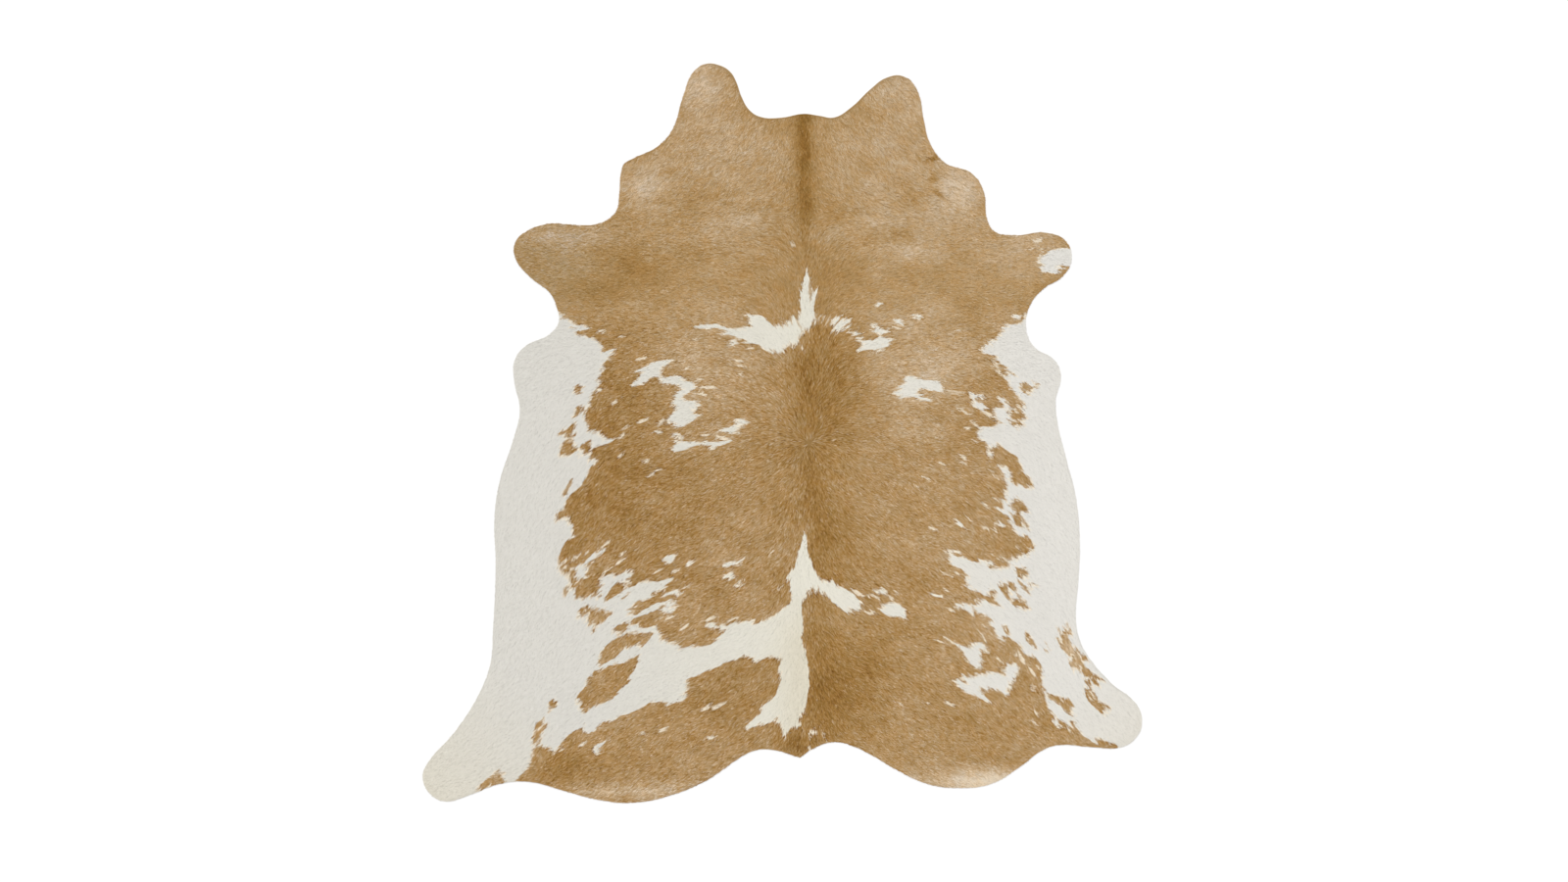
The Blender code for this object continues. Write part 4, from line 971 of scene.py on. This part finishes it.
def along_winding_path(places):
    """The order of the places along a path that winds through the hide and keeps neighbours together."""
    cells = ((places - places.min(0)) / LOCK_PITCH).astype(int)
    return np.argsort(spread_bits(cells[:, 0]) | (spread_bits(cells[:, 1]) << 1), kind="stable")


def make_strip(name, corners, colours, material):
    """One mesh of many locks, each of two triangles: from root to sides, and from sides to tip."""
    count = len(corners)
    mesh = bpy.data.meshes.new(name)
    mesh.vertices.add(count * 4)
    mesh.vertices.foreach_set("co", corners.astype(np.float32).ravel())
    mesh.loops.add(count * 6)
    turns = np.arange(count)[:, None] * 4 + LOCK_TURNS
    mesh.loops.foreach_set("vertex_index", turns.astype(np.int32).ravel())
    mesh.polygons.add(count * 2)
    mesh.polygons.foreach_set("loop_start", (np.arange(count * 2) * 3).astype(np.int32))
    mesh.update(calc_edges=True)
    mesh.shade_smooth()
    paint(mesh, colours.reshape(-1, 3))
    lay_maps(mesh, count)
    return finish_piece(mesh, material)


def lay_maps(mesh, count):
    """Two maps. On Strand each lock has its own stretch of hairs. On OFBake each has a square cell of its own,
    and the cells follow the same winding path as the locks do, so that neighbours stay near each other."""
    random = np.random.default_rng(5)
    track = random.integers(0, STRAND_TRACKS, count) * STRAND_PITCH
    start = random.uniform(0, STRAND_LENGTH, count)
    across = np.array([(1 + corner.side * corner.width) / 2 for corner in LOCK_CORNERS])
    along = np.array([corner.along for corner in LOCK_CORNERS])
    strand = np.stack([track[:, None] + across, start[:, None] + along], -1)
    order = np.arange(count)
    cell = np.stack([gather_bits(order), gather_bits(order >> 1)], 1)
    square = np.array([[0, 0], [1, 0], [0, 1], [1, 1]])
    bake = (cell[:, None, :] + BAKE_MARGIN + (1 - 2 * BAKE_MARGIN) * square) / BAKE_CELLS
    for name, spots in (("Strand", strand), ("OFBake", bake)):
        turned = spots[:, LOCK_TURNS].astype(np.float32)
        mesh.uv_layers.new(name=name).data.foreach_set("uv", turned.ravel())


def make_coat(ring, material):
    """All the locks, in strips of neighbours that are about as large as one another."""
    roots, edge_gap = lock_roots(ring)
    bands = math.ceil(len(roots) / LOCKS_IN_STRIP)
    by_height = np.argsort(-roots[:, 1], kind="stable")
    corners, colours = shape_locks(roots, edge_gap, ring)
    strips = []
    for number, band in enumerate(np.array_split(by_height, bands), start=1):
        band = band[along_winding_path(roots[band])]
        strips.append(make_strip(f"hide_coat_{number}", corners[band], colours[band], material))
    return strips


def new_material(name, roughness, specular):
    material = bpy.data.materials.new(name)
    material.use_nodes = True
    shader = material.node_tree.nodes["Principled BSDF"]
    shader.inputs["Roughness"].default_value = roughness
    shader.inputs["Specular IOR Level"].default_value = specular
    return material, shader


def add_node(material, kind, **settings):
    node = material.node_tree.nodes.new(kind)
    for name, value in settings.items():
        setattr(node, name, value)
    return node


def add_noise(material, coordinates, scale, detail, stretch=(1, 1, 1)):
    """A noise pattern on the given coordinates. Returns its output, from 0 to 1."""
    links = material.node_tree.links
    mapping = add_node(material, "ShaderNodeMapping")
    mapping.inputs["Scale"].default_value = stretch
    noise = add_node(material, "ShaderNodeTexNoise")
    noise.inputs["Scale"].default_value = scale
    noise.inputs["Detail"].default_value = detail
    links.new(coordinates, mapping.inputs["Vector"])
    links.new(mapping.outputs["Vector"], noise.inputs["Vector"])
    return noise.outputs["Fac"]


def shade(material, shader, colour, pattern, low, high):
    """Gives the shader a colour, from low to high times as bright by a noise pattern."""
    links = material.node_tree.links
    span = add_node(material, "ShaderNodeMapRange")
    for name, value in (("From Min", NOISE_LOW), ("From Max", NOISE_HIGH), ("To Min", low), ("To Max", high)):
        span.inputs[name].default_value = value
    scaled = add_node(material, "ShaderNodeVectorMath", operation="SCALE")
    links.new(pattern, span.inputs["Value"])
    links.new(colour, scaled.inputs[0])
    links.new(span.outputs["Result"], scaled.inputs["Scale"])
    links.new(scaled.outputs["Vector"], shader.inputs["Base Color"])


def add_bump(material, shader, height, strength, distance):
    bump = add_node(material, "ShaderNodeBump")
    bump.inputs["Strength"].default_value = strength
    bump.inputs["Distance"].default_value = distance
    material.node_tree.links.new(height, bump.inputs["Height"])
    material.node_tree.links.new(bump.outputs["Normal"], shader.inputs["Normal"])


def lock_material():
    """The outer hair: each lock's own colour, with fine single hairs drawn along it."""
    material, shader = new_material("outer_hair", roughness=0.60, specular=0.15)
    shader.inputs["Sheen Weight"].default_value = 0.04
    shader.inputs["Sheen Roughness"].default_value = 0.45
    colour = add_node(material, "ShaderNodeAttribute", attribute_name="hair_colour")
    strand = add_node(material, "ShaderNodeUVMap", uv_map="Strand")
    hairs = add_noise(material, strand.outputs["UV"], scale=6.0, detail=1.0, stretch=(1, 0.12, 1))
    shade(material, shader, colour.outputs["Color"], hairs, low=0.93, high=1.07)
    add_bump(material, shader, hairs, strength=0.35, distance=0.0003)
    return material


def undercoat_material():
    """The underhair: the same colours as the locks, darker and woolly, because little light gets in."""
    material, shader = new_material("underhair", roughness=0.85, specular=0.10)
    colour = add_node(material, "ShaderNodeAttribute", attribute_name="hair_colour")
    place = add_node(material, "ShaderNodeTexCoord")
    wool = add_noise(material, place.outputs["Object"], scale=700.0, detail=2.0)
    shade(material, shader, colour.outputs["Color"], wool, low=0.62, high=0.82)
    add_bump(material, shader, wool, strength=0.5, distance=0.0006)
    return material


def suede_material():
    """The flesh side and the cut edge: pale matt suede with a soft nap and cloudy tone."""
    material, shader = new_material("flesh_side_suede", roughness=0.92, specular=0.15)
    shader.inputs["Sheen Weight"].default_value = 0.25
    place = add_node(material, "ShaderNodeTexCoord")
    nap = add_noise(material, place.outputs["Object"], scale=900.0, detail=3.0)
    clouds = add_noise(material, place.outputs["Object"], scale=7.0, detail=4.0)
    ramp = add_node(material, "ShaderNodeValToRGB")
    for stop, (position, tone) in zip(ramp.color_ramp.elements, SUEDE_CLOUDS):
        stop.position = position
        stop.color = (*srgb(*tone), 1)
    material.node_tree.links.new(clouds, ramp.inputs["Fac"])
    shade(material, shader, ramp.outputs["Color"], nap, low=0.90, high=1.08)
    add_bump(material, shader, nap, strength=0.4, distance=0.0004)
    return material


def make_floor():
    """A wide, plain, nearly white floor."""
    shape = bmesh.new()
    bmesh.ops.create_grid(shape, x_segments=1, y_segments=1, size=FLOOR_REACH)
    bmesh.ops.translate(shape, verts=shape.verts, vec=(0, 0, HIDE_BOX[0].z))
    mesh = mesh_from("floor", shape)
    material, shader = new_material("white_floor", roughness=0.9, specular=0.0)
    shader.inputs["Base Color"].default_value = FLOOR_COLOUR
    mesh.materials.append(material)
    floor = bpy.data.objects.new("floor", mesh)
    bpy.context.scene.collection.objects.link(floor)


def make_light():
    """Even white light from all round, and one wide soft sun from the top left."""
    world = bpy.data.worlds.new("studio")
    world.use_nodes = True
    sky = world.node_tree.nodes["Background"]
    sky.inputs["Color"].default_value = (1, 1, 1, 1)
    sky.inputs["Strength"].default_value = SKY_STRENGTH
    bpy.context.scene.world = world
    light = bpy.data.lights.new("soft_sun", "SUN")
    light.energy = SUN_STRENGTH
    light.angle = SUN_WIDTH
    sun = bpy.data.objects.new("soft_sun", light)
    sun.rotation_euler = Vector(SUN_FROM).to_track_quat("Z", "Y").to_euler()
    bpy.context.scene.collection.objects.link(sun)


def make_camera():
    """A camera straight above, far enough away for a mild perspective, that frames the picture's view."""
    camera = bpy.data.cameras.new("camera")
    camera.sensor_width = SENSOR_WIDTH
    camera.lens = SENSOR_WIDTH * CAMERA_HEIGHT / (PICTURE_WIDTH * PIXEL)
    eye = bpy.data.objects.new("camera", camera)
    eye.location = (
        (PICTURE_WIDTH / 2 - PICTURE_MIDDLE_X) * PIXEL,
        (PICTURE_MIDDLE_Y - PICTURE_HEIGHT / 2) * PIXEL,
        CAMERA_HEIGHT,
    )
    bpy.context.scene.collection.objects.link(eye)
    bpy.context.scene.camera = eye


def make_rug():
    ring = hide_outline()
    leather = make_leather(suede_material())
    undercoat = make_undercoat(ring, undercoat_material())
    coat = make_coat(ring, lock_material())
    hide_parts("hide")


make_rug()
make_floor()
make_light()
make_camera()
bpy.context.scene.view_settings.view_transform = "Standard"
